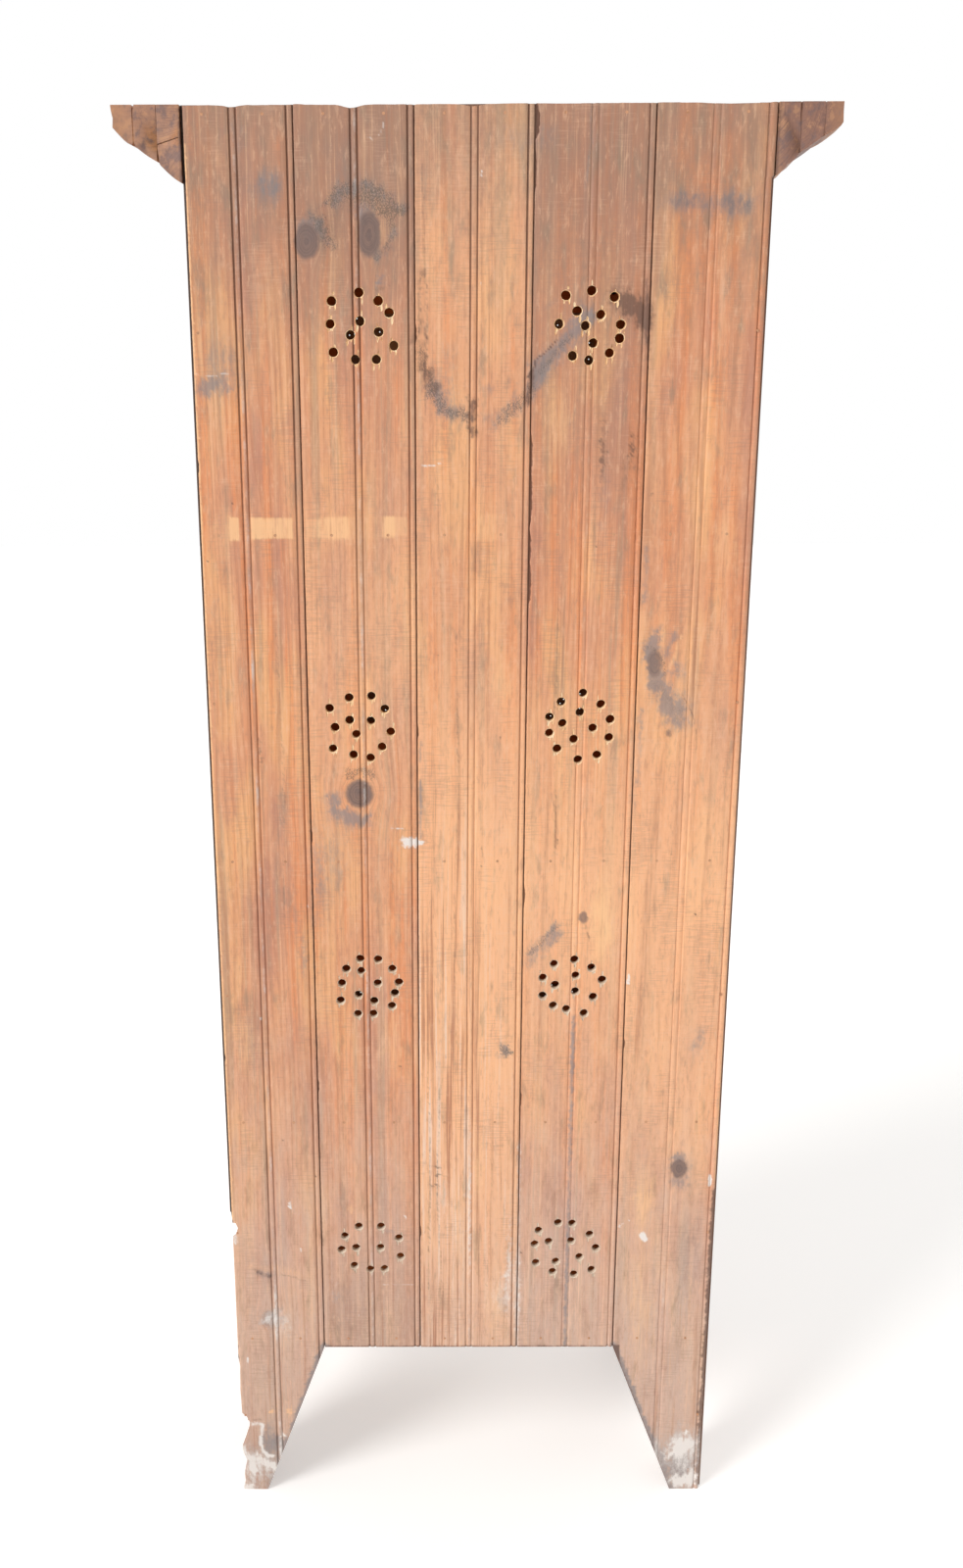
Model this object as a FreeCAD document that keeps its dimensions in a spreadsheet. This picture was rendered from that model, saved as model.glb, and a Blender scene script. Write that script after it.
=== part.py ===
import FreeCAD, Part
import math
import os

import Sketcher

# A pie safe: a tall narrow pine cupboard that kept pies and bread, with a punched-tin door at
# the front, a beaded board back with vent holes, three shelves and a built-up cornice.
# Millimetres. +Z is up, the door faces -Y and the beaded back faces +Y. The origin is on the
# floor, in the middle of the box that holds the whole piece. Left and right are as seen by
# someone who stands at the door, so left is -X.

Vector = FreeCAD.Vector

DIMENSIONS = (
    ("overall_high", 1830, "floor to the top of the cornice"),
    ("case_deep", 390, "front of the face frame to the back of the boards"),
    ("side_thick", 20, "side planks"),
    ("side_reveal", 3, "side plank edge that shows past the back boards"),
    ("board_face", 133, "face of a full beaded board"),
    ("board_ripped_right", 121, "first beaded board, ripped to fit"),
    ("board_ripped_left", 130, "last beaded board, ripped to fit"),
    ("back_thick", 8, "beaded boards"),
    ("bead_wide", 6.5, "half-round bead on the boards"),
    ("quirk_wide", 1.5, "groove beside a bead"),
    ("quirk_deep", 2.2, "depth of that groove"),
    ("tongue_thick", 2.4, "tongue on a board's edge"),
    ("tongue_long", 5, "reach of the tongue"),
    ("tongue_play", 0.25, "room round a tongue in its groove"),
    ("board_gap", 0.6, "open joint between two boards"),
    ("cutout_high", 238, "arch of the cut-out between the back feet"),
    ("back_foot_right", 35, "width of the right back foot at the floor"),
    ("back_foot_left", 42, "width of the left back foot at the floor"),
    ("vent_bore", 11, "diameter of a vent hole"),
    ("vent_top", 1596, "centre of the top row of vents"),
    ("vent_second", 1126, "centre of the second row"),
    ("vent_third", 782, "centre of the third row"),
    ("vent_low", 395, "centre of the bottom row"),
    ("top_thick", 20, "top board"),
    ("bottom_thick", 20, "bottom board"),
    ("bottom_top", 262, "upper face of the bottom board, and of the apron"),
    ("shelf_thick", 16, "shelves"),
    ("shelf_low_top", 594, "upper face of the low shelf"),
    ("shelf_middle_top", 960, "upper face of the middle shelf"),
    ("shelf_upper_top", 1368, "upper face of the upper shelf"),
    ("shelf_play", 1, "room at a shelf's ends"),
    ("shelf_setback", 2, "shelf edge behind the face frame"),
    ("cleat_high", 25, "cleats under the shelves"),
    ("cleat_thick", 18, "cleats, across the case"),
    ("cleat_setback", 10, "cleat ends short of the shelf"),
    ("side_foot", 70, "foot of a side plank at the floor"),
    ("side_cut_high", 150, "cut-out between the feet of a side plank"),
    ("side_cut_lean", 56, "lean of that cut-out's edges"),
    ("frame_thick", 20, "face frame"),
    ("stile_wide", 65, "stiles of the face frame"),
    ("stile_foot", 45, "foot of such a stile at the floor"),
    ("apron_low", 172, "lower edge of the apron between its brackets"),
    ("bracket_low", 120, "tip of the apron's brackets"),
    ("bracket_tip", 18, "width of a bracket's tip"),
    ("bracket_wide", 58, "width of a bracket at its root"),
    ("cornice_out", 77, "reach of the cornice past the case"),
    ("fascia_high", 17, "upright edge of the cornice"),
    ("outer_drop", 42, "depth of the outer layer at its inner side"),
    ("middle_drop", 59, "depth of the middle layer at its inner side"),
    ("inner_start", 60, "depth of the inner layer at its outer side"),
    ("inner_drop", 81, "depth of the inner layer at the case"),
    ("ovolo_round", 40, "radius of the outer layer's round"),
    ("middle_round", 150, "radius of the middle layer's flat round"),
    ("foot_round", 90, "radius of the inner layer's round"),
    ("door_gap", 2, "gap round the door"),
    ("door_thick", 19.5, "door frame"),
    ("door_stile", 89, "stiles of the door"),
    ("top_rail", 90, "top rail of the door"),
    ("mid_rail", 88, "rails between the tins"),
    ("bottom_rail", 112, "bottom rail of the door"),
    ("panel_high", 242, "tin that shows between two rails"),
    ("rabbet_wide", 7, "rabbet behind a tin's edge"),
    ("rabbet_deep", 10, "depth of that rabbet"),
    ("tin_thick", 0.8, "sheet tin"),
    ("tin_play", 1, "room round a tin in its rabbet"),
    ("strip_thick", 8, "strips that hold a tin"),
    ("strip_wide", 6.5, "width of those strips"),
    ("slot_long", 16, "chisel slot in a tin"),
    ("slot_wide", 1.6, "width of that slot"),
    ("rosette_near", 22, "start of a rosette's slots from its centre"),
    ("rosette_far", 62, "start of the outer ring of slots"),
    ("tenon_thick", 6.5, "tenons of the rails"),
    ("tenon_long", 45, "reach of a tenon"),
    ("tenon_shoulder", 10, "shoulder above and below a tenon"),
    ("tenon_play", 0.2, "room round a tenon in its mortise"),
    ("peg_bore", 7, "draw-bore pegs"),
    ("stop_wide", 28, "door stop behind the right stile"),
    ("stop_thick", 12, "thickness of the door stop"),
    ("stop_lap", 8, "reach of the stop behind the door"),
    ("stop_long", 320, "length of the door stop"),
    ("hinge_high", 64, "butt hinge"),
    ("hinge_inset", 150, "hinge centre from the door's end"),
    ("leaf_thick", 1.5, "hinge leaf"),
    ("leaf_clear", 0.3, "leaf to the middle of the gap"),
    ("leaf_wide", 18, "leaf from its front edge to its back edge"),
    ("leaf_setback", 0.6, "front edge of a leaf behind the door's face"),
    ("knuckle_round", 4, "outer radius of a knuckle"),
    ("knuckle_clear", 0.4, "knuckle to the face behind it, and between knuckles"),
    ("pin_round", 2, "radius of a hinge pin"),
    ("pin_play", 0.05, "running clearance on the pin"),
    ("pin_tip", 2.5, "cap at each end of a pin"),
    ("pin_cap_round", 3.2, "radius of that cap"),
    ("screw_round", 1.6, "radius of a hinge screw"),
    ("screw_head_round", 3.2, "radius of its head"),
    ("screw_long", 18, "length of a hinge screw past the leaf"),
    ("screw_spread", 22, "outer screws from the hinge's centre"),
    ("knob_out_x", 44, "knob centre from the door's edge"),
    ("knob_up", 1090, "knob centre above the floor"),
    ("knob_tenon", 8, "radius of the knob's tenon"),
    ("knob_base", 11, "radius of the knob's base"),
    ("knob_base_thick", 4, "thickness of the knob's base"),
    ("knob_neck", 7.5, "radius of the knob's neck"),
    ("knob_neck_start", 6, "start of the neck past the door"),
    ("knob_hollow", 12, "radius of the hollow from neck to head"),
    ("knob_head", 16, "radius of the knob's head"),
    ("knob_head_start", 18.5, "start of the head's rim past the door"),
    ("knob_head_end", 23, "end of the head's rim"),
    ("knob_rim_round", 4, "rounding of that rim"),
    ("knob_face", 6, "radius of the flat at the knob's end"),
    ("knob_dome", 7.5, "rounding from the rim to that flat"),
    ("knob_reach", 32, "reach of the knob past the door"),
    ("button_in", 22, "turn button's screw from the opening's edge"),
    ("button_up", 1060, "turn button's screw above the floor"),
    ("button_waist", 12, "half width of the turn button at its screw"),
    ("button_end", 7, "half width of the turn button at its ends"),
    ("button_shoulder", 30, "start of the turn button's rounded ends from its screw"),
    ("button_end_round", 9, "rounding of those ends"),
    ("button_thick", 12, "turn button"),
    ("button_clear", 0.3, "room before and behind the turn button"),
    ("button_screw_round", 2.5, "radius of its screw"),
    ("button_screw_long", 18, "screw length in the stile"),
    ("button_head_round", 5, "radius of the screw head"),
    ("button_head_high", 3, "height of the screw head"),
    ("washer_round", 8, "radius of the washer"),
    ("washer_thick", 0.7, "washer"),
    ("nail_round", 1.1, "radius of a nail"),
    ("nail_long", 32, "length of a nail"),
    ("nail_head_round", 1.7, "radius of a nail's head"),
    ("nail_head_high", 0.8, "height of a nail's head"),
    ("nail_edge", 7, "nail from a board's outer edge"),
    ("frame_nail_low", 90, "lowest nail of the face frame"),
    ("frame_nail_step", 320, "pitch of the face frame's nails"),
    ("cornice_front_step", 130, "pitch of the nails in the front cornice"),
    ("cornice_side_step", 150, "pitch of the nails in the side cornices"),
    ("brad_round", 0.6, "radius of a brad"),
    ("brad_long", 15, "length of a brad"),
)

# Vent holes: offsets from the middle of each cluster, across (seen from behind, to the right)
# and up. The left cluster of a row, seen from behind, is in the second board from the right.
VENTS_RIGHT_BOARD = {
    "dim.vent_top": (
        (-28, 28), (3, 37), (25, 28), (37, 15), (-30, 3), (4, 6),
        (-7, -9), (25, -6), (42, -21), (-27, -28), (-2, -36), (22, -36)),
    "dim.vent_second": (
        (-16, 37), (11, 39), (-40, 24), (27, 23), (-16, 9), (10, 8), (-34, 0),
        (-8, -9), (34, -6), (-37, -27), (23, -25), (-12, -35), (9, -39)),
    "dim.vent_third": (
        (-8, 38), (15, 37), (-26, 24), (-7, 21), (33, 24), (-32, 4), (14, 4), (41, 5),
        (36, -10), (-11, -12), (-34, -20), (9, -21), (32, -28), (-12, -39), (8, -39)),
    "dim.vent_low": (
        (-16, 34), (14, 34), (-35, 19), (38, 16), (-40, -2), (-20, 1),
        (13, 1), (40, -13), (-23, -27), (-1, -33), (18, -32)),
}
VENTS_LEFT_BOARD = {
    "dim.vent_top": (
        (-29, 33), (0, 38), (26, 31), (-16, 16), (11, 12), (-36, 2), (-6, 0),
        (34, 1), (33, -14), (3, -19), (-20, -33), (22, -30), (-1, -38)),
    "dim.vent_second": (
        (2, 42), (-24, 31), (24, 28), (-1, 18), (-38, 12), (36, 9), (-22, 4),
        (15, -2), (-38, -8), (35, -14), (-8, -16), (-28, -28), (21, -36), (-2, -42)),
    "dim.vent_third": (
        (0, 36), (-26, 30), (22, 25), (-40, 11), (2, 14), (36, 8), (-24, 1),
        (-40, -14), (2, -8), (25, -16), (-26, -28), (-9, -33), (14, -39)),
    "dim.vent_low": (
        (-13, 39), (6, 38), (-39, 27), (30, 21), (-44, 6), (-25, 10), (5, 11),
        (39, 0), (17, -14), (-42, -23), (-15, -21), (-19, -37), (34, -34), (10, -41)),
}

# Places that follow from the driving dimensions, as expressions.
BACK_HALF = "((dim.board_ripped_right + 3 * dim.board_face + dim.board_ripped_left) / 2)"
CASE_HALF = f"({BACK_HALF} + dim.side_reveal)"
IN_HALF = f"({CASE_HALF} - dim.side_thick)"
OPENING_HALF = f"({CASE_HALF} - dim.stile_wide)"
DOOR_HALF = f"({OPENING_HALF} - dim.door_gap)"
PANEL_HALF = f"({DOOR_HALF} - dim.door_stile)"
CORNICE_HALF = f"({CASE_HALF} + dim.cornice_out)"
BACK_Y = "((dim.case_deep + dim.cornice_out) / 2)"
BOARD_IN_Y = f"({BACK_Y} - dim.back_thick)"
FRONT_Y = f"({BACK_Y} - dim.case_deep)"
CORNICE_Y = f"({FRONT_Y} - dim.cornice_out)"
FRAME_IN_Y = f"({FRONT_Y} + dim.frame_thick)"
DOOR_IN_Y = f"({FRONT_Y} + dim.door_thick)"
TIN_Y = f"({DOOR_IN_Y} - dim.rabbet_deep)"
STRIP_Y = f"({TIN_Y} + dim.tin_thick)"
DOOR_LOW = "(dim.bottom_top + dim.door_gap)"
HINGE_X = f"(-{OPENING_HALF} + dim.door_gap / 2)"
HINGE_Y = f"({FRONT_Y} - dim.knuckle_clear - dim.knuckle_round)"
FIRST_JOINT = f"({BACK_HALF} - dim.board_ripped_right)"
LAST_JOINT = f"(-{BACK_HALF} + dim.board_ripped_left)"
TOP = "dim.overall_high"
OVER = 1  # how far a cutting solid runs past what it cuts

SIDES = (("left", -1), ("right", 1))
LEVELS = (("upper", "dim.shelf_upper_top"), ("middle", "dim.shelf_middle_top"),
          ("low", "dim.shelf_low_top"))
LAYERS = ("inner", "middle", "outer")
BRAD_SHARES = (0.2, 0.8)  # along a tin's upright sides
PEG_SHARES = (0.3, 0.7)  # up a door rail
DIRECTIONS = {
    "+z": FreeCAD.Rotation(),
    "+y": FreeCAD.Rotation(Vector(1, 0, 0), -90),
    "-y": FreeCAD.Rotation(Vector(1, 0, 0), 90),
    "+x": FreeCAD.Rotation(Vector(0, 1, 0), 90),
    "-x": FreeCAD.Rotation(Vector(0, 1, 0), -90),
}

doc = FreeCAD.newDocument("pie_safe")
nodes = []


def make_sheet():
    """The driving dimensions, one to a row, each with its name as alias."""
    table = doc.addObject("Spreadsheet::Sheet", "dim")
    for row, (alias, size, meaning) in enumerate(DIMENSIONS, start=1):
        table.set(f"A{row}", meaning)
        table.set(f"B{row}", str(size))
        table.setAlias(f"B{row}", alias)
    doc.recompute()
    return table


sheet = make_sheet()


def number(expression):
    """The value that an expression has now, for a sketch's first drawing."""
    return float(sheet.evalExpression(expression))


def keep(node, piece):
    """Name a finished piece and put it on the list of nodes."""
    piece.Label = node
    nodes.append(piece)
    return piece


def mirrored(pair, side):
    """A pair of X limits on the given side: -1 is left, 1 is right."""
    low, high = pair
    if side > 0:
        return low, high
    return f"-({high})", f"-({low})"


def put(piece, x, y, z):
    for letter, expression in zip("xyz", (x, y, z)):
        piece.setExpression(f"Placement.Base.{letter}", expression)
    return piece


def block(name, x, y, z):
    """A squared piece between three pairs of limits."""
    piece = doc.addObject("Part::Box", name)
    for size, (low, high) in zip(("Length", "Width", "Height"), (x, y, z)):
        piece.setExpression(size, f"({high}) - ({low})")
    return put(piece, x[0], y[0], z[0])


def rod(name, radius, length, start, direction):
    """A round piece that runs from a start point."""
    piece = doc.addObject("Part::Cylinder", name)
    piece.setExpression("Radius", radius)
    piece.setExpression("Height", length)
    piece.Placement = FreeCAD.Placement(Vector(), DIRECTIONS[direction])
    return put(piece, *start)


def cone(name, radii, length, start, direction):
    """A tapered round piece that runs from a start point."""
    piece = doc.addObject("Part::Cone", name)
    piece.setExpression("Radius1", radii[0])
    piece.setExpression("Radius2", radii[1])
    piece.setExpression("Height", length)
    piece.Placement = FreeCAD.Placement(Vector(), DIRECTIONS[direction])
    return put(piece, *start)


def together(name, pieces):
    """Separate solids that share one node."""
    group = doc.addObject("Part::Compound", name)
    group.Links = pieces
    return group


def joined(name, pieces):
    fusion = doc.addObject("Part::MultiFuse", name)
    fusion.Shapes = pieces
    fusion.Refine = True
    return fusion


def cut(name, base, tools):
    """A piece less the tools, which don't meet each other."""
    result = doc.addObject("Part::Cut", name)
    result.Base = base
    result.Tool = tools[0] if len(tools) == 1 else together(name + "_waste", tools)
    return result


def arc_between(start, end, radius, side):
    """An arc and the sketch's end numbers for its start and end; side 1 bulges to the right."""
    chord = end - start
    half = chord.Length / 2
    normal = Vector(-chord.y, chord.x, 0).normalize()
    centre = start + chord / 2 + normal * (side * math.sqrt(radius ** 2 - half ** 2))
    turn = [math.atan2(point.y - centre.y, point.x - centre.x) for point in (start, end)]
    circle = Part.Circle(centre, Vector(0, 0, 1), radius)
    if side > 0:
        return Part.ArcOfCircle(circle, turn[0], turn[1]), 1, 2
    return Part.ArcOfCircle(circle, turn[1], turn[0]), 2, 1


def draw(body, name, plane, outline):
    """A closed sketch. Each point is (across, up), or (across, up, radius, side) where an arc
    runs from it to the next point."""
    sketch = body.newObject("Sketcher::SketchObject", name)
    origin_planes = {feature.Role: feature for feature in body.Origin.OriginFeatures}
    sketch.AttachmentSupport = (origin_planes[plane], "")
    sketch.MapMode = "FlatFace"
    corners = [Vector(number(point[0]), number(point[1]), 0) for point in outline]
    edges = []
    for index, point in enumerate(outline):
        start = corners[index]
        end = corners[(index + 1) % len(corners)]
        if len(point) == 2:
            edges.append((sketch.addGeometry(Part.LineSegment(start, end)), 1, 2))
        else:
            arc, first, last = arc_between(start, end, number(point[2]), point[3])
            edges.append((sketch.addGeometry(arc), first, last))
    for index, point in enumerate(outline):
        edge, first, last = edges[index]
        following, following_first, _ = edges[(index + 1) % len(edges)]
        sketch.addConstraint(Sketcher.Constraint(
            "Coincident", edge, last, following, following_first))
        for kind, value, expression in zip(
                ("DistanceX", "DistanceY"), corners[index], point):
            held = sketch.addConstraint(Sketcher.Constraint(kind, -1, 1, edge, first, value))
            sketch.setExpression(f"Constraints[{held}]", expression)
        if len(point) == 4:
            held = sketch.addConstraint(Sketcher.Constraint("Radius", edge, number(point[2])))
            sketch.setExpression(f"Constraints[{held}]", point[2])
    return sketch


def prism(name, plane, outline, thick, x="0", y="0", z="0"):
    """An outline given a thickness: along +Z from XY, -Y from XZ and +X from YZ."""
    body = doc.addObject("PartDesign::Body", name)
    pad = body.newObject("PartDesign::Pad", name + "_pad")
    pad.Profile = draw(body, name + "_outline", plane, outline)
    pad.setExpression("Length", thick)
    return put(body, x, y, z)


# ------------------------------------------------------------------ the beaded back


def bead_channel(name, x):
    """The groove that a bead stands in, open to the back."""
    return block(name, x, (f"{BACK_Y} - dim.quirk_deep", f"{BACK_Y} + {OVER}"),
                 (f"-{OVER}", f"{TOP} + {OVER}"))


def bead(name, x, bottom):
    """The half-round bead, its crown level with the board's face."""
    return rod(name, "dim.bead_wide / 2", f"{TOP} - ({bottom})",
               (x, f"{BACK_Y} - dim.bead_wide / 2", bottom), "+z")


def vent_holes(board, centre, rows):
    holes = []
    for row, offsets in rows.items():
        for across, up in offsets:
            start = (f"{centre} - ({across})", f"{BOARD_IN_Y} - {OVER}", f"{row} + ({up})")
            holes.append(rod(f"{board}_vent", "dim.vent_bore / 2",
                             f"dim.back_thick + 2 * {OVER}", start, "+y"))
    return holes


def make_back_board(count, x, centre, bottom, waste):
    """One beaded board. x is its (left, right) edges; the tongue and edge bead are on its left."""
    node = f"back_board_{count}"
    left, right = x
    face = block(f"{node}_face", (f"{left} + dim.board_gap / 2", f"{right} - dim.board_gap / 2"),
                 (BOARD_IN_Y, BACK_Y), (bottom, TOP))
    half_channel = "(dim.bead_wide / 2 + dim.quirk_wide)"
    edge_bead = f"({left} + dim.board_gap / 2 + dim.bead_wide / 2)"
    channels = [
        bead_channel(f"{node}_centre_channel",
                     (f"{centre} - {half_channel}", f"{centre} + {half_channel}")),
        bead_channel(f"{node}_edge_channel",
                     (f"{left} - {OVER}", f"{edge_bead} + {half_channel}")),
    ]
    tongue_y = f"({BOARD_IN_Y} + dim.quirk_deep)"
    if count > 1:
        channels.append(block(
            f"{node}_groove",
            (f"{right} - dim.tongue_long - dim.tongue_play", f"{right} + {OVER}"),
            (f"{tongue_y} - dim.tongue_play", f"{tongue_y} + dim.tongue_thick + dim.tongue_play"),
            (f"-{OVER}", f"{TOP} + {OVER}")))
    grooved = cut(f"{node}_grooved", face, channels)
    solids = [grooved, bead(f"{node}_centre_bead", centre, bottom),
              bead(f"{node}_edge_bead", edge_bead, bottom)]
    if count < 5:
        solids.append(block(
            f"{node}_tongue",
            (f"{left} - dim.tongue_long + dim.board_gap / 2", f"{left} + dim.board_gap"),
            (tongue_y, f"{tongue_y} + dim.tongue_thick"), (bottom, TOP)))
    board = joined(f"{node}_beaded", solids)
    keep(node, cut(f"{node}_cut", board, waste) if waste else board)


def foot_waste(name, side, joint, foot):
    """The wedge that is sawn off an end board to leave its foot, and the tongue beside it."""
    past = f"({joint} - {side} * dim.tongue_long * 2)"
    return prism(name, "XZ_Plane", (
        (past, f"-{OVER}"), (foot, f"-{OVER}"), (foot, "0"), (joint, "dim.cutout_high"),
        (past, "dim.cutout_high")), f"dim.back_thick + 2 * {OVER}", y=f"{BACK_Y} + {OVER}")


def make_back():
    joints = [BACK_HALF]
    for width in ("dim.board_ripped_right",) + ("dim.board_face",) * 3 + (
            "dim.board_ripped_left",):
        joints.append(f"({joints[-1]} - {width})")
    centres = [f"({FIRST_JOINT} + dim.board_face / 2)"]
    centres += [f"({joint} - dim.board_face / 2)" for joint in joints[1:5]]
    wastes = {
        1: [foot_waste("right_foot_waste", 1, FIRST_JOINT,
                       f"({BACK_HALF} - dim.back_foot_right)")],
        2: vent_holes("back_board_2", centres[1], VENTS_RIGHT_BOARD),
        4: vent_holes("back_board_4", centres[3], VENTS_LEFT_BOARD),
        5: [foot_waste("left_foot_waste", -1, LAST_JOINT,
                       f"(-{BACK_HALF} + dim.back_foot_left)")],
    }
    for count in range(1, 6):
        bottom = "0" if count in (1, 5) else "dim.cutout_high"
        make_back_board(count, (joints[count], joints[count - 1]), centres[count - 1],
                        bottom, wastes.get(count))


# ------------------------------------------------------------------ the case


def make_side_planks():
    front_foot = f"({FRAME_IN_Y} + dim.side_foot)"
    back_foot = f"({BOARD_IN_Y} - dim.side_foot)"
    outline = (
        (FRAME_IN_Y, "0"), (front_foot, "0"),
        (f"{front_foot} + dim.side_cut_lean", "dim.side_cut_high"),
        (f"{back_foot} - dim.side_cut_lean", "dim.side_cut_high"),
        (back_foot, "0"), (BOARD_IN_Y, "0"), (BOARD_IN_Y, TOP), (FRAME_IN_Y, TOP))
    for name, side in SIDES:
        low, _ = mirrored((IN_HALF, CASE_HALF), side)
        keep(f"side_plank_{name}", prism(f"side_plank_{name}", "YZ_Plane", outline,
                                         "dim.side_thick", x=low))


def make_shelves():
    inside = (f"-{IN_HALF}", IN_HALF)
    shelf_x = (f"-{IN_HALF} + dim.shelf_play", f"{IN_HALF} - dim.shelf_play")
    shelf_y = (f"{FRAME_IN_Y} + dim.shelf_setback", BOARD_IN_Y)
    keep("top_board", block("top_board", inside, (FRAME_IN_Y, BOARD_IN_Y),
                            (f"{TOP} - dim.top_thick", TOP)))
    keep("bottom_board", block("bottom_board", shelf_x, (FRAME_IN_Y, BOARD_IN_Y),
                               ("dim.bottom_top - dim.bottom_thick", "dim.bottom_top")))
    undersides = ["dim.bottom_top - dim.bottom_thick"]
    for name, top in LEVELS:
        underside = f"{top} - dim.shelf_thick"
        keep(f"shelf_{name}", block(f"shelf_{name}", shelf_x, shelf_y, (underside, top)))
        undersides.append(underside)
    cleats = []
    for underside in undersides:
        for _, side in SIDES:
            x = mirrored((f"{IN_HALF} - dim.cleat_thick", IN_HALF), side)
            y = (f"{shelf_y[0]} + dim.cleat_setback", f"{BOARD_IN_Y} - dim.cleat_setback")
            cleats.append(block("cleat", x, y, (f"{underside} - dim.cleat_high", underside)))
    keep("shelf_cleats", together("shelf_cleats", cleats))


def tenon(name, side, half, thick, z, play="0"):
    """A tenon past a rail's end, or with some play the mortise that takes it."""
    middle = f"({FRONT_Y} + {thick} / 2)"
    x = mirrored((f"{half} - {OVER}", f"{half} + dim.tenon_long + {play}"), side)
    y = (f"{middle} - dim.tenon_thick / 2 - {play}", f"{middle} + dim.tenon_thick / 2 + {play}")
    height = (f"{z[0]} + dim.tenon_shoulder - {play}", f"{z[1]} - dim.tenon_shoulder + {play}")
    return block(name, x, y, height)


def tenons(node, half, thick, z):
    return [tenon(f"{node}_tenon", side, half, thick, z) for _, side in SIDES]


def mortises(node, side, half, thick, rails):
    return [tenon(f"{node}_mortise", side, half, thick, z, "dim.tenon_play") for z in rails]


# ------------------------------------------------------------------ the face frame


def hinge_places(door_top):
    return (("upper", f"({door_top} - dim.hinge_inset)"),
            ("lower", f"({DOOR_LOW} + dim.hinge_inset)"))


def leaf_recess(name, side, centre):
    """The shallow mortise for a hinge leaf: side -1 is in the face frame, 1 in the door."""
    sunk = f"({HINGE_X} + {side} * (dim.leaf_clear + dim.leaf_thick))"
    middle = f"({HINGE_X})"
    x = (sunk, middle) if side < 0 else (middle, sunk)
    y = (f"{FRONT_Y} - {OVER}", f"{FRONT_Y} + dim.leaf_setback + dim.leaf_wide")
    return block(name, x, y, (f"{centre} - dim.hinge_high / 2", f"{centre} + dim.hinge_high / 2"))


def make_face_frame(door_top):
    rail_low = f"({door_top} + dim.door_gap)"
    rails = ((rail_low, TOP), ("dim.bracket_low", "dim.bottom_top"))
    for name, side in SIDES:
        outer = f"({side} * {CASE_HALF})"
        inner = f"({side} * {OPENING_HALF})"
        foot = f"({side} * ({CASE_HALF} - dim.stile_foot))"
        outline = ((outer, "0"), (foot, "0"), (inner, "dim.bracket_low"), (inner, TOP),
                   (outer, TOP))
        stile = prism(f"frame_stile_{name}_blank", "XZ_Plane", outline, "dim.frame_thick",
                      y=FRAME_IN_Y)
        waste = mortises(f"frame_stile_{name}", side, OPENING_HALF, "dim.frame_thick", rails)
        if side < 0:
            waste += [leaf_recess("frame_leaf_recess", -1, centre)
                      for _, centre in hinge_places(door_top)]
        else:
            waste.append(rod("button_screw_bore", "dim.button_screw_round",
                             "dim.button_screw_long",
                             (f"{OPENING_HALF} + dim.button_in", FRONT_Y, "dim.button_up"), "+y"))
        keep(f"frame_stile_{name}", cut(f"frame_stile_{name}_cut", stile, waste))
    top_rail = block("frame_top_rail_blank", (f"-{OPENING_HALF}", OPENING_HALF),
                     (FRONT_Y, FRAME_IN_Y), rails[0])
    bracket_root = f"({OPENING_HALF} - dim.bracket_wide)"
    bracket_tip = f"({OPENING_HALF} - dim.bracket_tip)"
    apron_outline = (
        (f"-{OPENING_HALF}", "dim.bottom_top"), (f"-{OPENING_HALF}", "dim.bracket_low"),
        (f"-{bracket_tip}", "dim.bracket_low"), (f"-{bracket_root}", "dim.apron_low"),
        (bracket_root, "dim.apron_low"), (bracket_tip, "dim.bracket_low"),
        (OPENING_HALF, "dim.bracket_low"), (OPENING_HALF, "dim.bottom_top"))
    apron = prism("frame_apron_blank", "XZ_Plane", apron_outline, "dim.frame_thick",
                  y=FRAME_IN_Y)
    for node, blank, z in (("frame_top_rail", top_rail, rails[0]),
                           ("frame_apron", apron, rails[1])):
        keep(node, joined(f"{node}_joined",
                          [blank] + tenons(node, OPENING_HALF, "dim.frame_thick", z)))


# ------------------------------------------------------------------ the cornice


def layer_outline(layer, place):
    """A layer's section. place turns (reach from the case, drop from the top) into a point."""
    reach = [f"({step} * dim.cornice_out / 3)" for step in range(4)]
    if layer == "outer":
        return (place(reach[2], "0"), place(reach[3], "0"),
                place(reach[3], "dim.fascia_high") + ("dim.ovolo_round", -1),
                place(reach[2], "dim.outer_drop"))
    if layer == "middle":
        return (place(reach[1], "0"), place(reach[2], "0"),
                place(reach[2], "dim.outer_drop") + ("dim.middle_round", -1),
                place(reach[1], "dim.middle_drop"))
    return (place(reach[0], "0"), place(reach[1], "0"),
            place(reach[1], "dim.inner_start") + ("dim.foot_round", -1),
            place(reach[0], "dim.inner_drop"))


def turned(outline, side):
    """The same outline with its arcs bulging the other way where it was mirrored."""
    return tuple(point if len(point) == 2 else point[:3] + (point[3] * side,)
                 for point in outline)


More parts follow.
